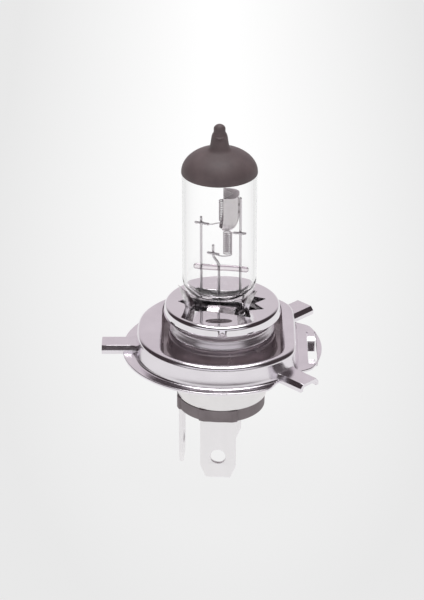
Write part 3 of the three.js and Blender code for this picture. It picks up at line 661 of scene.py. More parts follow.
def tube_outside():
    """The outside of the glass as rings, from the foot of the pinch to the dome's crown."""
    rings = []

    def squeezed(z, half_x, half_y, squareness=PINCH_SQUARENESS):
        rings.append(ring(z, lambda angle: flattened(angle, half_x, half_y, squareness), GLASS_ROUND))

    for inset, rise in ((0.5, 0), (0.2, 0.1), (0.05, 0.3), (0, 0.6)):
        squeezed(PINCH_BOTTOM_Z + rise, PINCH_HALF_WIDTH - inset, PINCH_HALF_THICKNESS - inset)
    squeezed(PINCH_MIDDLE_Z, PINCH_HALF_WIDTH, PINCH_HALF_THICKNESS)
    for t in fractions(28):
        spread_out = math.sin(QUARTER * t)
        half_x = lerp(PINCH_HALF_WIDTH, BULB_RADIUS, spread_out)
        half_y = lerp(PINCH_HALF_THICKNESS, BULB_RADIUS, spread_out**1.3)
        z = lerp(PINCH_TOP_Z, SHOULDER_TOP_Z, 1 - math.cos(QUARTER * t))
        squeezed(z, half_x, half_y, lerp(PINCH_SQUARENESS, 2, ease(2 * t)))
    for z in (18, 22, 27, 32, 36, 39):
        rings.append(ring(z, BULB_RADIUS, GLASS_ROUND))
    rings += [ring(z, r, GLASS_ROUND) for r, z in dome_profile(0)]
    return rings


def dome_profile(offset, top_angle=84):
    """Radius and height up the rounded end of the tube, before the exhaust tip takes over."""
    profile = []
    for t in fractions(14):
        angle = math.radians(top_angle) * t
        height = (DOME_HEIGHT + offset) * math.sin(angle)
        profile.append(((BULB_RADIUS + offset) * math.cos(angle), DOME_BASE_Z + height))
    return profile


def tube_inside():
    """The gas space: a bowl at the pinch, pressed to a wedge, under a straight tube and a dome."""
    inner = BULB_RADIUS - BULB_WALL
    rings = []
    for t in fractions(25, 1):
        spread_out = math.sin(QUARTER * t)
        half_x = inner * spread_out**0.6
        half_y = inner * spread_out**0.9
        z = lerp(CAVITY_Z, CAVITY_TOP_Z, 1 - math.cos(QUARTER * t))
        rings.append(ring(z, lambda angle, x=half_x, y=half_y: flattened(angle, x, y, 2), GLASS_ROUND))
    for z in (18, 24, 30, 36, 39):
        rings.append(ring(z, inner, GLASS_ROUND))
    rings += [ring(z, r, GLASS_ROUND) for r, z in dome_profile(-BULB_WALL)]
    return rings


def glass_bulb():
    outside = skin(tube_outside(), low_cap=True, high_cap=True)
    inside = inside_out(skin(tube_inside(), low_cap=True, high_cap=True))
    nodes = ["glass_envelope", "pinch_seal"]
    piece("bulb_glass", merged(outside, inside), QUARTZ, nodes, LAMP, sharp=60, outward=False)


def cap_profile(offset):
    """The coating's outline from its lower edge over the dome and up the exhaust tip."""
    scale = (BULB_RADIUS + offset) / BULB_RADIUS
    line = [(BULB_RADIUS + offset, CAP_EDGE_Z), *dome_profile(offset, TIP_START_ANGLE)]
    controls = [(r * scale, 0, DOME_BASE_Z + rise) for r, rise in TIP_PROFILE]
    tip = [(p.x, p.z) for p in smooth_path([(line[-1][0], 0, line[-1][1]), *controls], 6)][1:]
    last_r, last_z = tip[-1]
    top = CAP_TOP_Z - (CAP_OFFSET - offset)
    crown = []
    for t in fractions(6, 1):
        angle = QUARTER * t
        crown.append((last_r * math.cos(angle), lerp(last_z, top, math.sin(angle))))
    return line + tip + crown


def cap_ring(radius, z):
    """One ring of the coating, with the pinched-off glass fold on the front of the exhaust tip."""
    if radius >= TIP_WIDEST:
        return ring(z, radius, CAP_ROUND)
    fold = TIP_FOLD_DEPTH * bump(z - TIP_FOLD_Z, 0.2)
    lip = TIP_LIP_HEIGHT * bump(z - TIP_LIP_Z, 0.3)

    def radius_at(angle):
        pressed = fold * bump(angle_between(angle, -QUARTER), TIP_FOLD_TURN)
        raised = lip * bump(angle_between(angle, -QUARTER + 0.2), TIP_FOLD_TURN)
        return max(radius - pressed + raised, 0.02)

    return ring(z, radius_at, CAP_ROUND)


def antiglare_cap():
    outside = skin([cap_ring(r, z) for r, z in cap_profile(CAP_OFFSET)[:-1]], high_cap=True)
    inner_rings = [ring(z, r, CAP_ROUND) for r, z in cap_profile(CAP_OFFSET - CAP_SHELL)[:-1]]
    points, faces = merged(outside, inside_out(skin(inner_rings, high_cap=True)))
    start = len(outside[0])
    for i in range(CAP_ROUND):
        j = (i + 1) % CAP_ROUND
        faces.append((i, start + i, start + j, j))
    piece("antiglare_coating", (points, faces), COATING, ["antiglare_cap"], LAMP, sharp=60)


# ---- Inside the glass ----------------------------------------------------------------------------


def quartz_bridge():
    """The clear rod across the wires, a little wavy as hand-fused rod is."""
    path = []
    for t in (-1, -0.6, -0.2, 0.2, 0.6, 1):
        path.append((BRIDGE_X + BRIDGE_LENGTH / 2 * t, 0, BRIDGE_Z + 0.08 * math.sin(3 * t)))
    rod = tube(smooth_path(path, 8), BRIDGE_DIAMETER / 2, 32)
    piece("quartz_bridge_rod", rod, ROD_QUARTZ, ["quartz_bridge"], LAMP, sharp=60, outward=False)


def post(name, node, path):
    piece(name, tube(path, POST_DIAMETER / 2), MOLYBDENUM, [node], LAMP, sharp=50)


def straight_post(name, node, x, top_z):
    post(name, node, [(x, 0, z) for z in (POST_FOOT_Z, lerp(POST_FOOT_Z, top_z, 0.5), top_z - 0.2)])


def main_post():
    """The short middle post, which steps sideways above the bridge."""
    low = [(MAIN_POST_X, 0, z) for z in (POST_FOOT_Z, 13, 17.6)]
    step = [(MAIN_POST_X - 0.15, 0, 18.7), (MAIN_POST_TOP_X + 0.12, 0, 20.2)]
    high = [(MAIN_POST_TOP_X, 0, z) for z in (21.2, MAIN_POST_TOP_Z - 0.2)]
    post("main_post", "main_lead_post", smooth_path(low + step + high, 8))


def crossbar(name, node, place, droop):
    """A short bar welded across the front of a post, with its weld."""
    x, z, length = place
    half = length / 2
    path = [(x - half, CROSSBAR_Y, z + droop), (x, CROSSBAR_Y, z), (x + half, CROSSBAR_Y, z - droop)]
    bar = tube(smooth_path(path, 6), CROSSBAR_DIAMETER / 2)
    weld = ball((x, CROSSBAR_Y / 2, z), CROSSBAR_WELD)
    piece(name, merged(bar, weld), MOLYBDENUM, [node], LAMP, sharp=50)


def coil_path(coil):
    """An upright helix that starts at its front, from its axis's X, its radius and its two end heights."""
    x, radius, low_z, high_z = coil
    steps = 14
    total = steps * round((high_z - low_z) / COIL_PITCH)
    path = []
    for i in range(total + 1):
        angle = TAU * i / steps - QUARTER
        path.append((x + radius * math.cos(angle), radius * math.sin(angle), lerp(low_z, high_z, i / total)))
    return path


def filament(name, node, coil, bar, bar_steps, coil_steps, tail):
    """A coiled wire with a tail; its lead's points are steps from its crossbar's end and its coil's foot."""
    turns = coil_path(coil)
    bar_x, bar_z, bar_length = bar
    bar_end = Vector((bar_x + bar_length / 2, CROSSBAR_Y, bar_z))
    lead = [bar_end + Vector(step) for step in bar_steps]
    lead += [Vector(turns[0]) + Vector(step) for step in coil_steps]
    wire = tube([*smooth_path(lead, 6), *turns, *tail], COIL_WIRE_RADIUS, 8)
    piece(name, wire, TUNGSTEN, [node], LAMP, sharp=60)


def dipped_filament():
    bar_steps = [(-0.2, -0.28, -0.05), (0.9, -0.3, 0.05)]
    coil_steps = [(-1.2, -0.05, -0.25), (-0.4, 0, -0.12)]
    tail = [(1.3, 0, 34.0), (2.4, 0, 34.2), (3.8, 0.1, 34.2)]
    filament(
        "dipped_filament", "dipped_beam_filament", DIPPED_COIL, DIPPED_BAR, bar_steps, coil_steps, tail
    )


def main_filament():
    bar_steps = [(-0.3, -0.26, -0.15), (0.5, -0.3, -0.3)]
    coil_steps = [(-0.7, -0.02, -0.1)]
    far_x, far_z, far_length = COMMON_BAR
    far_end = far_x - far_length / 2
    tail = [(2.3, -0.5, 26.3), (2.75, CROSSBAR_Y, far_z), (far_end + 0.4, CROSSBAR_Y - 0.2, far_z)]
    filament("main_filament", "main_beam_filament", MAIN_COIL, MAIN_BAR, bar_steps, coil_steps, tail)


def shield_section(z, offset):
    """One open section of the shield, from the back of its mouth round to the front."""
    below = max(SHIELD_SCOOP_Z - z, 0) / SHIELD_SCOOP_DEPTH
    radius = SHIELD_RADIUS * math.sqrt(max(1 - below**2.4, 0.0004)) - offset
    widest = max(radius, 0.3)
    mouth = SHIELD_MOUTH_X - SHIELD_X - 0.5 * ease(below)
    front = math.acos(max(min(mouth / widest, 1), -1))
    back = math.acos(max(min((mouth - SHIELD_BACK_LAP) / widest, 1), -1))
    points = []
    for t in fractions(40):
        angle = lerp(back, -front, t)
        reach = radius * flattened(angle, 1, 0.96, 3)
        points.append(Vector((SHIELD_X + reach * math.cos(angle), reach * math.sin(angle), z)))
    return points


def dipped_shield():
    """The scoop beside the dipped coil, open towards -X, and the two weld spots at its post."""
    heights = [SHIELD_SCOOP_Z - SHIELD_SCOOP_DEPTH * math.sin(math.radians(a)) for a in range(84, 0, -6)]
    heights += [lerp(SHIELD_SCOOP_Z, SHIELD_TOP_Z, t) for t in fractions(6)]
    rings = [shield_section(z, 0) + shield_section(z, SHIELD_WALL)[::-1] for z in heights]
    scoop = skin(rings, low_cap=True, high_cap=True)
    piece("shield_scoop", scoop, SHIELD_METAL, ["dipped_beam_shield"], LAMP, sharp=45)
    weld_x = COMMON_POST_X - 0.4
    welds = [ball((weld_x, -0.45, SHIELD_TOP_Z - drop), SHIELD_WELD) for drop in (2.1, 3.8)]
    piece("shield_welds", merged(*welds), SHADE_AND_WELD_METAL, ["dipped_beam_shield"], LAMP, sharp=45)


def seal_foil(name, node, x):
    """A thin sealing foil with feathered edges and a faint ripple."""
    across = Vector((FOIL_WIDTH / 2, 0, 0))
    up = Vector((0, FOIL_HALF_THICKNESS, 0))
    rings = []
    for t in fractions(24):
        z = lerp(FOIL_LOW_Z, FOIL_HIGH_Z, t)
        rings.append(section(Vector((x, 0.02 * math.sin(9 * z), z)), across, up, SECTION_ROUND))
    shape = skin(rings, low_cap=True, high_cap=True)
    piece(name, shape, MOLYBDENUM, [node], LAMP, sharp=70)


# ---- Collar, clamp and sleeve --------------------------------------------------------------------


def star_outline():
    """The star opening, narrowed from the front and the back by a straight tongue along the pinch."""
    along_pinch = Matrix.Rotation(TONGUE_TURN, 2)

    def star_point(radius, degrees):
        return radius * Vector((math.cos(math.radians(degrees)), math.sin(math.radians(degrees))))

    outline = []
    for start, tips, end in STAR_SIDES:
        outline.append(along_pinch @ Vector(start))
        for k, tip in enumerate(tips):
            if k:
                outline.append(star_point(STAR_HUB_RADIUS, (tips[k - 1] + tip) / 2))
            outline.append(star_point(STAR_TIP_RADIUS, tip))
        outline.append(along_pinch @ Vector(end))
    return rounded([(p.x, p.y, STAR_FILLET) for p in outline], steps=3)


def collar_bottom(angle):
    """The skirt's lower edge, with its half-round notch at the front."""
    across = COLLAR_RADIUS * angle_between(angle, -QUARTER)
    if across >= NOTCH_RADIUS:
        return COLLAR_BOTTOM_Z
    return COLLAR_BOTTOM_Z + math.sqrt(NOTCH_RADIUS**2 - across**2)


def focus_collar():
    """The rolled disc: its rounded rim, its skirt with an eased lip, and its top round the star opening."""
    flat_radius = COLLAR_RADIUS - COLLAR_ROLL - COLLAR_LEAN
    under_z = COLLAR_TOP_Z - COLLAR_SHEET
    lip, ease_in, edge = 0.16, 0.05, 0.14

    def rolled(top_z, roll, angle):
        return ring(top_z - roll * (1 - math.cos(angle)), flat_radius + roll * math.sin(angle), COLLAR_ROUND)

    rings = [rolled(COLLAR_TOP_Z, COLLAR_ROLL, 0.87 * QUARTER * t) for t in fractions(8)]
    skirt = [(0.03, lip), (0.07, ease_in), (lip, 0)]
    skirt += [(COLLAR_SHEET - lip, 0), (COLLAR_SHEET - ease_in, ease_in), (COLLAR_SHEET, lip)]
    for inset, rise in skirt:
        rings.append(ring(lambda a, rise=rise: collar_bottom(a) + rise, COLLAR_RADIUS - inset, COLLAR_ROUND))
    rings += [rolled(under_z, COLLAR_ROLL - COLLAR_SHEET, QUARTER * (1 - t)) for t in fractions(4)]
    points, faces = skin(rings)
    rows = [(edge, COLLAR_TOP_Z), (0.04, COLLAR_TOP_Z - 0.04), (0, COLLAR_TOP_Z - edge)]
    rows += [(0, under_z + edge), (0.04, under_z + 0.04), (edge, under_z)]
    star_top, star_low = sheet_wall(points, faces, star_outline(), rows)
    faces += filled(points, [ring_numbers(0, COLLAR_ROUND), star_top])
    faces += filled(points, [ring_numbers(len(rings) - 1, COLLAR_ROUND), star_low])
    piece("collar", (points, faces), COLLAR_METAL, ["focus_collar"], sharp=32)
    # The bead is the collar's own nickel; its dark material is painted shade.
    piece("collar_bead", tongue_bead(), SHADE_AND_WELD_METAL, ["focus_collar"], sharp=60)


def tongue_bead():
    """The shallow pressed bead on the front tongue, an ellipse with slightly blunt ends."""
    (centre_x, centre_y), (half_x, half_y) = BEAD_CENTRE, BEAD_HALF_SIZE
    rings = []
    for k in range(9):
        share = 1 - k / 9
        z = COLLAR_TOP_Z - 0.02 + BEAD_HEIGHT * ease(k / 9)
        outline = []
        for angle in angles_round(96):
            blunt = math.copysign(abs(math.cos(angle)) ** 0.8, math.cos(angle))
            x = centre_x + half_x * share * blunt
            outline.append(Vector((x, centre_y + half_y * share * math.sin(angle), z)))
        rings.append(outline)
    return skin(rings, low_cap=True, high_cap=True)


def strip_section(centre, across, out, half_width, half_thickness):
    """A sheet strip's section, a rectangle with eased corners."""
    return section(
        centre, across, out, SECTION_ROUND, lambda angle: flattened(angle, half_width, half_thickness, 6)
    )


def bent_strip(line, width, thickness, across=Vector((0, 1, 0))):
    """A sheet strip that follows a line."""
    line = [Vector(p) for p in line]
    rings = []
    for i, centre in enumerate(line):
        along = (line[min(i + 1, len(line) - 1)] - line[max(i - 1, 0)]).normalized()
        out = across.cross(along).normalized()
        rings.append(strip_section(centre, across, out, width / 2, thickness / 2))
    return skin(rings, low_cap=True, high_cap=True)


def eyelet(centre, radius, wire, tilt):
    """A small ring of wire, tilted so that its back edge stands higher."""
    rings = []
    for angle in angles_round(32):
        out = Vector((math.cos(angle), math.sin(angle), 0))
        rings.append(section(out * radius, out, Vector((0, 0, 1)), 12, wire))
    place = Matrix.Translation(centre) @ Matrix.Rotation(tilt, 4, "X")
    return moved(skin(rings, wrap=True), place)


def spring_leaf(side):
    """A leaf between two edges that part as they rise: one hugs the glass, the other bends outwards."""
    outer = [(6.6, -2.9, 7.9), (6.7, -3.3, 9.6), (7.3, -3.0, 11.6), (8.35, -2.0, 14.0)]
    inner = [(5.0, -3.1, 7.9), (4.6, -3.7, 9.4), (4.5, -4.2, 10.8), (4.7, -4.9, 12.3)]
    rings = []
    for a, b in zip(smooth_path(outer, 8), smooth_path(inner, 8)):
        across = (b - a) / 2
        out = across.cross(Vector((0, 0, 1))).normalized()
        flat = strip_section((a + b) / 2, across.normalized(), out, across.length, LEAF_HALF_SHEET)
        crowned = []
        for angle, point in zip(angles_round(SECTION_ROUND), flat):
            point = point - out * LEAF_CROWN * math.cos(angle) ** 2
            crowned.append(Vector((side * point.x, point.y, point.z)))
        rings.append(crowned)
    return skin(rings, low_cap=True, high_cap=True)


def pinch_clamp():
    """The bent sheet frame that grips the pinch, with a spring leaf rising at each side."""
    wall_y = PINCH_HALF_THICKNESS + 0.4
    reach = PINCH_HALF_WIDTH + 0.5
    wall_sheet, foot_sheet, apron_sheet = 0.5, 0.45, 0.35
    front_top_z, back_top_z = 9.35, 8.2
    sideways = Vector((1, 0, 0))
    shapes = []
    for side, top_z in ((-1, front_top_z), (1, back_top_z)):
        line = [(0, side * wall_y, z) for z in (3.2, 4.5, 6, 7.5, top_z)]
        shapes.append(bent_strip(line, 2 * reach - 1.2, wall_sheet, sideways))
    for side in (-1, 1):
        foot = [(9.3, 3.5), (8.2, 3.5), (reach + 0.3, 3.7), (reach, 4.6), (reach, 6), (reach, 8.1)]
        path = smooth_path([(side * x, 0, z) for x, z in foot], 6)
        shapes.append(bent_strip(path, 2 * wall_y, foot_sheet))
    apron = [(1, -wall_y, 9.7), (1, -wall_y - 0.4, 9.55), (1, -wall_y - 1.2, 9.2), (1, -wall_y - 2.2, 8.7)]
    shapes.append(bent_strip(smooth_path(apron, 4), 6, apron_sheet, sideways))
    shapes.append(eyelet((5.5, -3.9, 9.2), radius=0.62, wire=0.22, tilt=0.5))
    shapes.append(ball((-6.3, -1.4, 8.9), (0.7, 0.6, 0.8)))
    leaves = merged(spring_leaf(-1), spring_leaf(1))
    piece("pinch_frame", merged(*shapes), CLAMP_METAL, ["pinch_clamp"], LAMP, sharp=45)
    piece("pinch_leaves", leaves, LEAF_METAL, ["pinch_clamp"], LAMP, sharp=45)


def inner_sleeve():
    """The tube under the collar, with a swell above the neck and a faint groove over it."""
    outer = [(SLEEVE_RADIUS, SLEEVE_BOTTOM_Z)]
    for t in fractions(32):
        z = lerp(NECK_TOP_Z + 0.1, SLEEVE_TOP_Z, t)
        swell = SWELL_DEPTH * bump(z - SWELL_Z, 1.1)
        groove = GROOVE_DEPTH * bump(z - GROOVE_Z, 0.3)
        outer.append((SLEEVE_RADIUS + swell - groove, z))
    inner = [(r - SLEEVE_SHEET, z) for r, z in outer]
    piece("sleeve", turned(outer + inner[::-1]), SPRING_METAL, ["inner_sleeve"], sharp=50)


# ---- Mounting flange -----------------------------------------------------------------------------


def dome_radius(angle, inset):
    return chorded(angle, DOME_RADIUS - inset, RIGHT_CHORD - inset, LEFT_CHORD - inset)


def well_radius(angle, outset):
    return chorded(angle, WELL_RADIUS + outset, WELL_FLAT + outset, WELL_FLAT + outset)


def rim_radius(angle, inset=0.0):
    """The rim's edge, drawn in where the two side lugs leave it."""
    away = min(math.degrees(angle_between(angle, lug_angle)) for lug_angle in LUG_ANGLES[1:])
    return lerp(RIM_RADIUS, RIM_NECK_RADIUS, 1 - ease((away - 7.5) / 12)) - inset


def flange_ring(z, radius_at, offset=0.0):
    return ring(z, lambda angle: radius_at(angle, offset), FLANGE_ROUND)


def quarter_round(radius, steps=8):
    """Pairs of distances along two sides of a right angle that a quarter round of this radius joins."""
    turns = [QUARTER * t for t in fractions(steps)]
    return [(radius * (1 - math.sin(turn)), radius * (1 - math.cos(turn))) for turn in turns]


def flange_rings():
    """Rings from the rim's crease up over the dome and down over the well's lip."""
    rings = []
    for out, rise in quarter_round(CREASE):
        rings.append(flange_ring(RIM_TOP_Z + rise, dome_radius, -out - WALL_LEAN))
    foot_z, top_z = RIM_TOP_Z + CREASE, FLANGE_TOP_Z - SHOULDER_ROLL
    for t in fractions(8, 1)[:-1]:
        rings.append(flange_ring(lerp(foot_z, top_z, t), dome_radius, -WALL_LEAN * (1 - t) ** 2))
    for drop, inset in quarter_round(SHOULDER_ROLL, 12):
        rings.append(flange_ring(FLANGE_TOP_Z - drop, dome_radius, inset))
    for outset, drop in quarter_round(WELL_LIP):
        rings.append(flange_ring(FLANGE_TOP_Z - drop, well_radius, outset))
    return rings


def flange_underside():
    """Rings from the well's lip out under the dome's top to the rim's underside."""
    under_z = FLANGE_TOP_Z - FLANGE_SHEET
    rows = [
        (WELL_TOP_Z, well_radius, 0),
        (WELL_TOP_Z, well_radius, FLANGE_SHEET),
        (under_z, well_radius, FLANGE_SHEET + 0.2),
        (under_z, dome_radius, FLANGE_SHEET + 0.5),
        (under_z - 0.5, dome_radius, FLANGE_SHEET),
        (RIM_BOTTOM_Z + 0.4, dome_radius, FLANGE_SHEET),
        (RIM_BOTTOM_Z, dome_radius, FLANGE_SHEET - 0.4),
    ]
    return [flange_ring(*row) for row in rows]


def flange_well():
    """The well pressed into the dome and the neck that stands up from its floor."""
    fillet = 0.5
    roll = (NECK_RADIUS - NECK_BORE) / 2
    under_z = WELL_FLOOR_Z - FLANGE_SHEET
    rings = [flange_ring(WELL_TOP_Z, well_radius)]
    for rise, inset in quarter_round(fillet):
        rings.append(flange_ring(WELL_FLOOR_Z + rise, well_radius, -inset))
    for out, rise in quarter_round(fillet):
        rings.append(ring(WELL_FLOOR_Z + rise, NECK_RADIUS + out, FLANGE_ROUND))
    for t in fractions(8):
        reach = NECK_BORE + roll + roll * math.cos(math.pi * t)
        rings.append(ring(NECK_TOP_Z - roll + roll * math.sin(math.pi * t), reach, FLANGE_ROUND))
    rings.append(ring(under_z, NECK_BORE, FLANGE_ROUND))
    rings.append(flange_ring(under_z, well_radius))
    rings.append(flange_ring(WELL_FLOOR_Z, well_radius, FLANGE_SHEET))
    rings.append(flange_ring(WELL_TOP_Z, well_radius, FLANGE_SHEET))
    # The well and neck are the flange's own nickel; their darker material is painted shade from the collar
    # above.
    piece("flange_well", skin(rings, wrap=True), WELL_SHADE_METAL, ["mounting_flange"], sharp=38)


def rim_edge_rows():
    """The rim's turned-down edge, from its flat top out and down to its underside."""
    rows = []
    for inset, drop in quarter_round(RIM_ROLL, 4):
        rows.append(flange_ring(RIM_TOP_Z - drop, rim_radius, inset))
    for inset, rise in reversed(quarter_round(RIM_UNDER_ROLL, 3)):
        rows.append(flange_ring(RIM_BOTTOM_Z + rise, rim_radius, inset))
    return rows


def slot_outline():
    (low_x, low_y), (high_x, high_y) = CLIP_SLOT
    corners = [(low_x, low_y), (high_x, low_y), (high_x, high_y), (low_x, high_y)]
    return rounded([(x, y, 0.3) for x, y in corners], steps=5)


def flange_body():
    """The dome and the rim as one sheet; the rim's two faces are filled round the clip slot."""
    sheet = flange_rings() + flange_underside()
    edge = rim_edge_rows()
    points, faces = merged(skin(sheet), skin(edge))
    rows = [(0.12, RIM_TOP_Z), (0.03, RIM_TOP_Z - 0.03), (0, RIM_TOP_Z - 0.12)]
    rows += [(0, RIM_BOTTOM_Z + 0.05), (0.05, RIM_BOTTOM_Z)]
    slot_top, slot_low = sheet_wall(points, faces, slot_outline(), rows)
    edge_start = len(sheet) * FLANGE_ROUND
    edge_top = ring_numbers(0, FLANGE_ROUND, edge_start)
    edge_low = ring_numbers(len(edge) - 1, FLANGE_ROUND, edge_start)
    crease, under = ring_numbers(0, FLANGE_ROUND), ring_numbers(len(sheet) - 1, FLANGE_ROUND)
    faces += filled(points, [edge_top, crease, slot_top])
    faces += filled(points, [edge_low, under, slot_low])
    return points, faces


def lug_arch(half, flat, top_z, drop, shoulder_fillet, top_fillet):
    """The upper outline of a lug's channel, from its left foot over to its right foot."""
    right = [(half, -LUG_DEPTH, 0), (half, top_z - drop, shoulder_fillet), (flat, top_z, top_fillet)]
    left = [(-x, z, fillet) for x, z, fillet in right]
    return rounded([*left, *right[::-1]], closed=False, steps=5)


def lug_section(x, half_width, top_z):
    """One section of a lug's inverted channel: over its rounded top and back under its sheet."""
    flat = half_width - LUG_SLOPE
    outer = lug_arch(half_width, flat, top_z, LUG_SHOULDER, 0.25, 0.1)
    inner = lug_arch(half_width - LUG_SHEET, flat - 0.3, top_z - LUG_SHEET, LUG_SHOULDER / 2, 0.2, 0.2)
    return [Vector((x, p.x, p.y)) for p in outer + inner[::-1]]


def lug(angle):
    """A lug that flares where it runs into the dome's wall."""
    edge = 0.12
    rings = []
    for t in fractions(14):
        flare = (1 - ease(t)) ** 2
        x = lerp(LUG_ROOT_RADIUS, LUG_ROOT_RADIUS + LUG_FLARE_LENGTH, t)
        rings.append(lug_section(x, LUG_HALF_WIDTH + LUG_FLARE_WIDTH * flare, LUG_FLARE_RISE * flare))
    for x in (22, 24, LUG_TIP_RADIUS - edge):
        rings.append(lug_section(x, LUG_HALF_WIDTH, 0))
    rings.append(lug_section(LUG_TIP_RADIUS, LUG_HALF_WIDTH - edge / 2, -edge / 2))
    count = len(rings[0])
    points, faces = skin(rings)
    for end in (ring_numbers(0, count), ring_numbers(len(rings) - 1, count)):
        for i in range(count // 2 - 1):
            faces.append((end[i], end[i + 1], end[count - 2 - i], end[count - 1 - i]))
    return moved((points, faces), Matrix.Rotation(angle, 4, "Z"))


def clip_tongues():
    """The two spring tongues bent down out of the slot in the rim."""
    (low_x, low_y), (high_x, high_y) = CLIP_SLOT
    middle, width = (low_x + high_x) / 2, high_x - low_x - 0.2
    sheet, sink = 0.45, 0.27
    front = [(low_y - 0.4, 0), (low_y + 0.6, 0.15), (low_y + 5, 1.6)]
    back = [(high_y + 0.4, 0), (high_y - 0.3, 0.02), (high_y - 2.2, 0.5), (high_y - 4.0, 2.5)]
    shapes = []
    for line in (front, back):
        path = smooth_path([(middle, y, RIM_TOP_Z - sink - drop) for y, drop in line], 6)
        shapes.append(bent_strip(path, width, sheet, Vector((1, 0, 0))))
    return merged(*shapes)


def mounting_flange():
    shape = merged(flange_body(), *[lug(angle) for angle in LUG_ANGLES], clip_tongues())
    piece("flange", shape, FLANGE_METAL, ["mounting_flange"], sharp=38)


# ---- Base shell, insulator and blades ------------------------------------------------------------


def base_shell():
    """The thin skirt, narrowing to its lip over the insulator."""
    corners = [
        (SHELL_TOP_RADIUS - SHELL_SHEET, SHELL_TOP_Z, 0.1),
        (SHELL_RADIUS - SHELL_SHEET, SHELL_LIP_Z, 0.1),
        (SHELL_RADIUS, SHELL_LIP_Z, 0.28),
        (SHELL_TOP_RADIUS, SHELL_TOP_Z, 0.2),
    ]
    piece("shell", turned(rounded(corners)), SHELL_METAL, ["base_shell"], sharp=40)


def bossed(angle, radius):
    """Radius of the insulator, a round plug with a flat-faced boss over each blade's root."""
    sharpness = 60
    for blade_angle in BLADE_ANGLES:
        away = angle_between(angle, blade_angle)
        if away < QUARTER:
            face = BOSS_FACE / math.cos(away)
            side = BOSS_HALF_WIDTH / max(math.sin(away), 1e-3)
            boss = (face**-sharpness + side**-sharpness) ** (-1 / sharpness)
            radius = max(radius, min(boss, BOSS_RADIUS))
    return radius


def insulator():
    """The moulded plug: its hidden upper part, its bossed lower part and the hollow in its foot."""
    plug = SHELL_RADIUS - SHELL_SHEET - SHELL_GAP
    seat_z = SHELL_LIP_Z - 0.1
    edge = 0.15
    low_z = INSULATOR_BOTTOM_Z
    rings = [ring(z, plug, INSULATOR_ROUND) for z in (INSULATOR_TOP_Z, seat_z)]
    bossed_rows = [(seat_z, INSULATOR_TOP_RADIUS, 0), (low_z + edge, INSULATOR_BOTTOM_RADIUS, 0)]
    bossed_rows.append((low_z, INSULATOR_BOTTOM_RADIUS, edge))
    for z, radius, inset in bossed_rows:
        rings.append(ring(z, lambda angle: bossed(angle, radius) - inset, INSULATOR_ROUND))
    for rise, radius in ((0, 7.2), (0.5, 7.0), (0.6, 4.0)):
        rings.append(ring(low_z + rise, radius, INSULATOR_ROUND))
    shape = skin(rings, low_cap=True, high_cap=True)
    piece("insulator_plug", shape, MOULDING, ["insulator"], CONNECTOR, sharp=25)


def blade(name, node, angle):
    """A terminal blade, blanked from sheet: eased edges, a chamfered tip and a round hole."""
    half = BLADE_WIDTH / 2
    right = [
        (half - BLADE_CHAMFER_X, BLADE_TIP_Z, 0.35),
        (half, BLADE_TIP_Z + BLADE_CHAMFER_Z, 0.5),
        (half, BLADE_SHOULDER_Z, 0.2),
    ]
    left = [(-x, z, fillet) for x, z, fillet in right]
    outline = rounded([left[0], *right, *left[:0:-1]])
    hole = section(Vector((0, BLADE_HOLE_Z)), Vector((1, 0)), Vector((0, 1)), 64, BLADE_HOLE_RADIUS)
    sheet = plate(outline, [hole], -BLADE_THICKNESS / 2, BLADE_THICKNESS / 2, 0.14)
    stand = Matrix(((0, 0, 1, BLADE_RADIUS), (1, 0, 0, 0), (0, 1, 0, 0), (0, 0, 0, 1)))
    place = CONNECTOR @ Matrix.Rotation(angle, 4, "Z") @ stand
    piece(name, sheet, BLADE_METAL, [node], place, sharp=32)


def outer_lead(name, node, foil_x, angle):
    """A wire from a foil's foot, bent across the base to the inner face of its blade."""
    foot = LAMP @ Vector((foil_x, 0, 0))
    reach = BLADE_RADIUS - BLADE_THICKNESS / 2 - 0.35
    turn = CONNECTOR @ Vector((math.cos(angle), math.sin(angle), 0)) * reach
    path = [(foot.x, foot.y, z) for z in (FOIL_LOW_Z - 0.1, 1.8, 0.2)]
    path += [(turn.x, turn.y, z) for z in (-4.4, -6.5)]
    piece(name, tube(smooth_path(path, 8), 0.25), MOLYBDENUM, [node], sharp=50)


def build_bulb():
    glass_bulb()
    antiglare_cap()
    quartz_bridge()
    straight_post("dipped_post", "dipped_lead_post", DIPPED_POST_X, DIPPED_POST_TOP_Z)
    straight_post("common_post", "common_lead_post", COMMON_POST_X, COMMON_POST_TOP_Z)
    main_post()
    crossbar("dipped_crossbar", "dipped_filament_crossbar", DIPPED_BAR, 0.12)
    crossbar("main_crossbar", "main_filament_crossbar", MAIN_BAR, 0.12)
    crossbar("common_crossbar", "common_filament_crossbar", COMMON_BAR, 0)
    dipped_filament()
    main_filament()
    dipped_shield()
    seal_foil("dipped_seal_foil", "dipped_foil", DIPPED_POST_X)
    seal_foil("main_seal_foil", "main_foil", MAIN_POST_X)
    seal_foil("common_seal_foil", "common_foil", COMMON_POST_X)
    focus_collar()
    pinch_clamp()
    inner_sleeve()
    mounting_flange()
    flange_well()
    base_shell()
    insulator()
    blade("front_blade", "main_beam_blade", -QUARTER)
    blade("back_blade", "common_blade", QUARTER)
    blade("left_blade", "dipped_beam_blade", math.pi)
    outer_lead("main_lead", "main_outer_lead", MAIN_POST_X, -QUARTER)
    outer_lead("common_lead", "common_outer_lead", COMMON_POST_X, QUARTER)
    outer_lead("dipped_lead", "dipped_outer_lead", DIPPED_POST_X, math.pi)


# ---- Studio --------------------------------------------------------------------------------------

FLOOR_Z = CAD_BOX[0].z
FLOOR_HALF = 3.0
CAMERA_TARGET = Vector((-2.18, 0, 9.89)) * MM
CAMERA_ELEVATION = math.radians(26.7)
CAMERA_DISTANCE = 0.6
CAMERA_LENS = 168.2
WHITE = (1.0, 0.99, 1.0)
LILAC = (0.635, 0.59, 0.62)
DUSK = (0.045, 0.034, 0.038)
SOFTBOX_WHITE = (0.8, 0.79, 0.82)
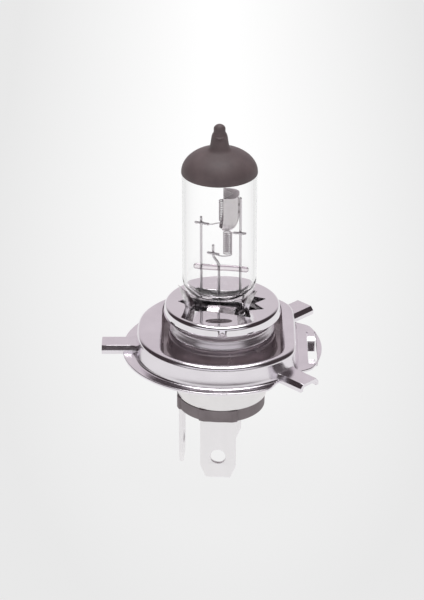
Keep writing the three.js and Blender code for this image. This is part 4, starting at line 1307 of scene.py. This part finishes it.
# Angles of the painted sky in degrees: how far the softbox is turned, and where it and the back begin and
# end to blend in.
SOFTBOX_TURN = 5
SOFTBOX_BLEND = (38, 62)
BACK_BLEND = (122, 150)
# The floor's glow is full behind the bulb and falls to its edge value at this reach, in metres.
GLOW_SHIFT = (0, -0.04, 0)
GLOW_STRETCH = (1, 0.25, 1)
GLOW_REACH = 0.06
GLOW_EDGE = 0.79
FLOOR_TONE = (0.03, 0.03, 0.03, 1)
OVERHEAD_PLACE = Vector((0.0, 0.05, 0.8))
OVERHEAD_SIZE = 0.5
OVERHEAD_ENERGY = 3


def floor():
    """A plain pale floor that glows a little, so that it stays even and nearly shadowless."""
    mesh = bpy.data.meshes.new("studio_floor")
    work = bmesh.new()
    bmesh.ops.create_grid(work, x_segments=8, y_segments=8, size=FLOOR_HALF)
    work.to_mesh(mesh)
    work.free()
    obj = bpy.data.objects.new("studio_floor", mesh)
    obj.location.z = FLOOR_Z
    bpy.context.scene.collection.objects.link(obj)
    material, tree, shader = new_material("pale_floor")
    where = add_node(tree, "TexCoord").outputs["Object"]
    centred = add_node(tree, "Mapping", {"Vector": where, "Location": GLOW_SHIFT, "Scale": GLOW_STRETCH})
    # Only the way to the sides and towards the camera counts.
    limits = {0: centred.outputs["Vector"], 1: (1, 0, 0)}
    limited = add_node(tree, "VectorMath", limits, operation="MINIMUM").outputs["Vector"]
    distance = add_node(tree, "VectorMath", {0: limited}, operation="LENGTH").outputs["Value"]
    fall = {"Value": distance, "From Max": GLOW_REACH, "To Min": 1.0, "To Max": GLOW_EDGE}
    looks = {
        "Base Color": FLOOR_TONE,
        "Roughness": 1,
        "Specular IOR Level": 0,
        "Emission Color": (1, 1, 1, 1),
        "Emission Strength": add_node(tree, "MapRange", fall).outputs["Result"],
    }
    set_inputs(tree, shader, looks)
    mesh.materials.append(material)


def studio_world():
    """Soft light: white overhead, lilac behind, and dusk towards the camera with a softbox in it."""
    world = bpy.data.worlds.new("studio")
    bpy.context.scene.world = world
    world.use_nodes = True
    tree = world.node_tree
    direction = add_node(tree, "TexCoord").outputs["Generated"]
    axes = add_node(tree, "SeparateXYZ", {"Vector": direction}).outputs

    def by_height(*stops):
        """Colours by the height of the direction, from 0 at the horizon to 1 overhead."""
        return ramp(tree, axes["Z"], stops, "EASE")

    def worked_out(operation, *values):
        return add_node(tree, "Math", dict(enumerate(values)), operation=operation).outputs["Value"]

    def mixed(away, blend, near, far):
        """Goes smoothly from the near to the far colour between two angles."""
        limits = {"From Min": math.radians(blend[0]), "From Max": math.radians(blend[1])}
        step = add_node(tree, "MapRange", {"Value": away, **limits}, interpolation_type="SMOOTHSTEP")
        colours = {"Factor": step.outputs["Result"], "A": near, "B": far}
        return add_node(tree, "Mix", colours, data_type="RGBA").outputs["Result"]

    top = [(0.86, DUSK), (0.95, WHITE)]
    patch = [(0.18, DUSK), (0.26, SOFTBOX_WHITE), (0.56, SOFTBOX_WHITE), (0.66, DUSK)]
    back = by_height((0.0, (0.74, 0.7, 0.73)), (0.15, LILAC), (0.9, LILAC), (0.96, WHITE))
    front = by_height((0.0, (0.6, 0.57, 0.58)), (0.09, DUSK), *top)
    softbox = by_height((0.0, (0.2, 0.18, 0.19)), *patch, *top)

    azimuth = worked_out("ARCTAN2", axes["X"], worked_out("MULTIPLY", axes["Y"], -1))
    softbox_away = worked_out("ABSOLUTE", worked_out("ADD", azimuth, math.radians(SOFTBOX_TURN)))
    colour = mixed(softbox_away, SOFTBOX_BLEND, softbox, front)
    colour = mixed(worked_out("ABSOLUTE", azimuth), BACK_BLEND, colour, back)
    set_inputs(tree, tree.nodes["Background"], {"Color": colour, "Strength": 1.0})


def overhead_light():
    data = bpy.data.lights.new("overhead", "AREA")
    data.shape = "RECTANGLE"
    data.size = data.size_y = OVERHEAD_SIZE
    data.energy = OVERHEAD_ENERGY
    obj = bpy.data.objects.new("overhead", data)
    obj.location = OVERHEAD_PLACE
    obj.rotation_euler = (-OVERHEAD_PLACE).to_track_quat("-Z", "Y").to_euler()
    bpy.context.scene.collection.objects.link(obj)


def camera():
    """The camera looks down at the bulb from straight in front."""
    away = Vector((0, -math.cos(CAMERA_ELEVATION), math.sin(CAMERA_ELEVATION))) * CAMERA_DISTANCE
    data = bpy.data.cameras.new("camera")
    data.lens = CAMERA_LENS
    data.sensor_width = 36
    data.sensor_fit = "AUTO"
    data.clip_start = 0.01
    obj = bpy.data.objects.new("camera", data)
    obj.location = CAMERA_TARGET + away
    obj.rotation_euler = (-away).to_track_quat("-Z", "Y").to_euler()
    bpy.context.scene.collection.objects.link(obj)
    bpy.context.scene.camera = obj


def studio():
    camera()
    floor()
    studio_world()
    overhead_light()
    bpy.context.scene.view_settings.view_transform = "Standard"


build_bulb()
studio()
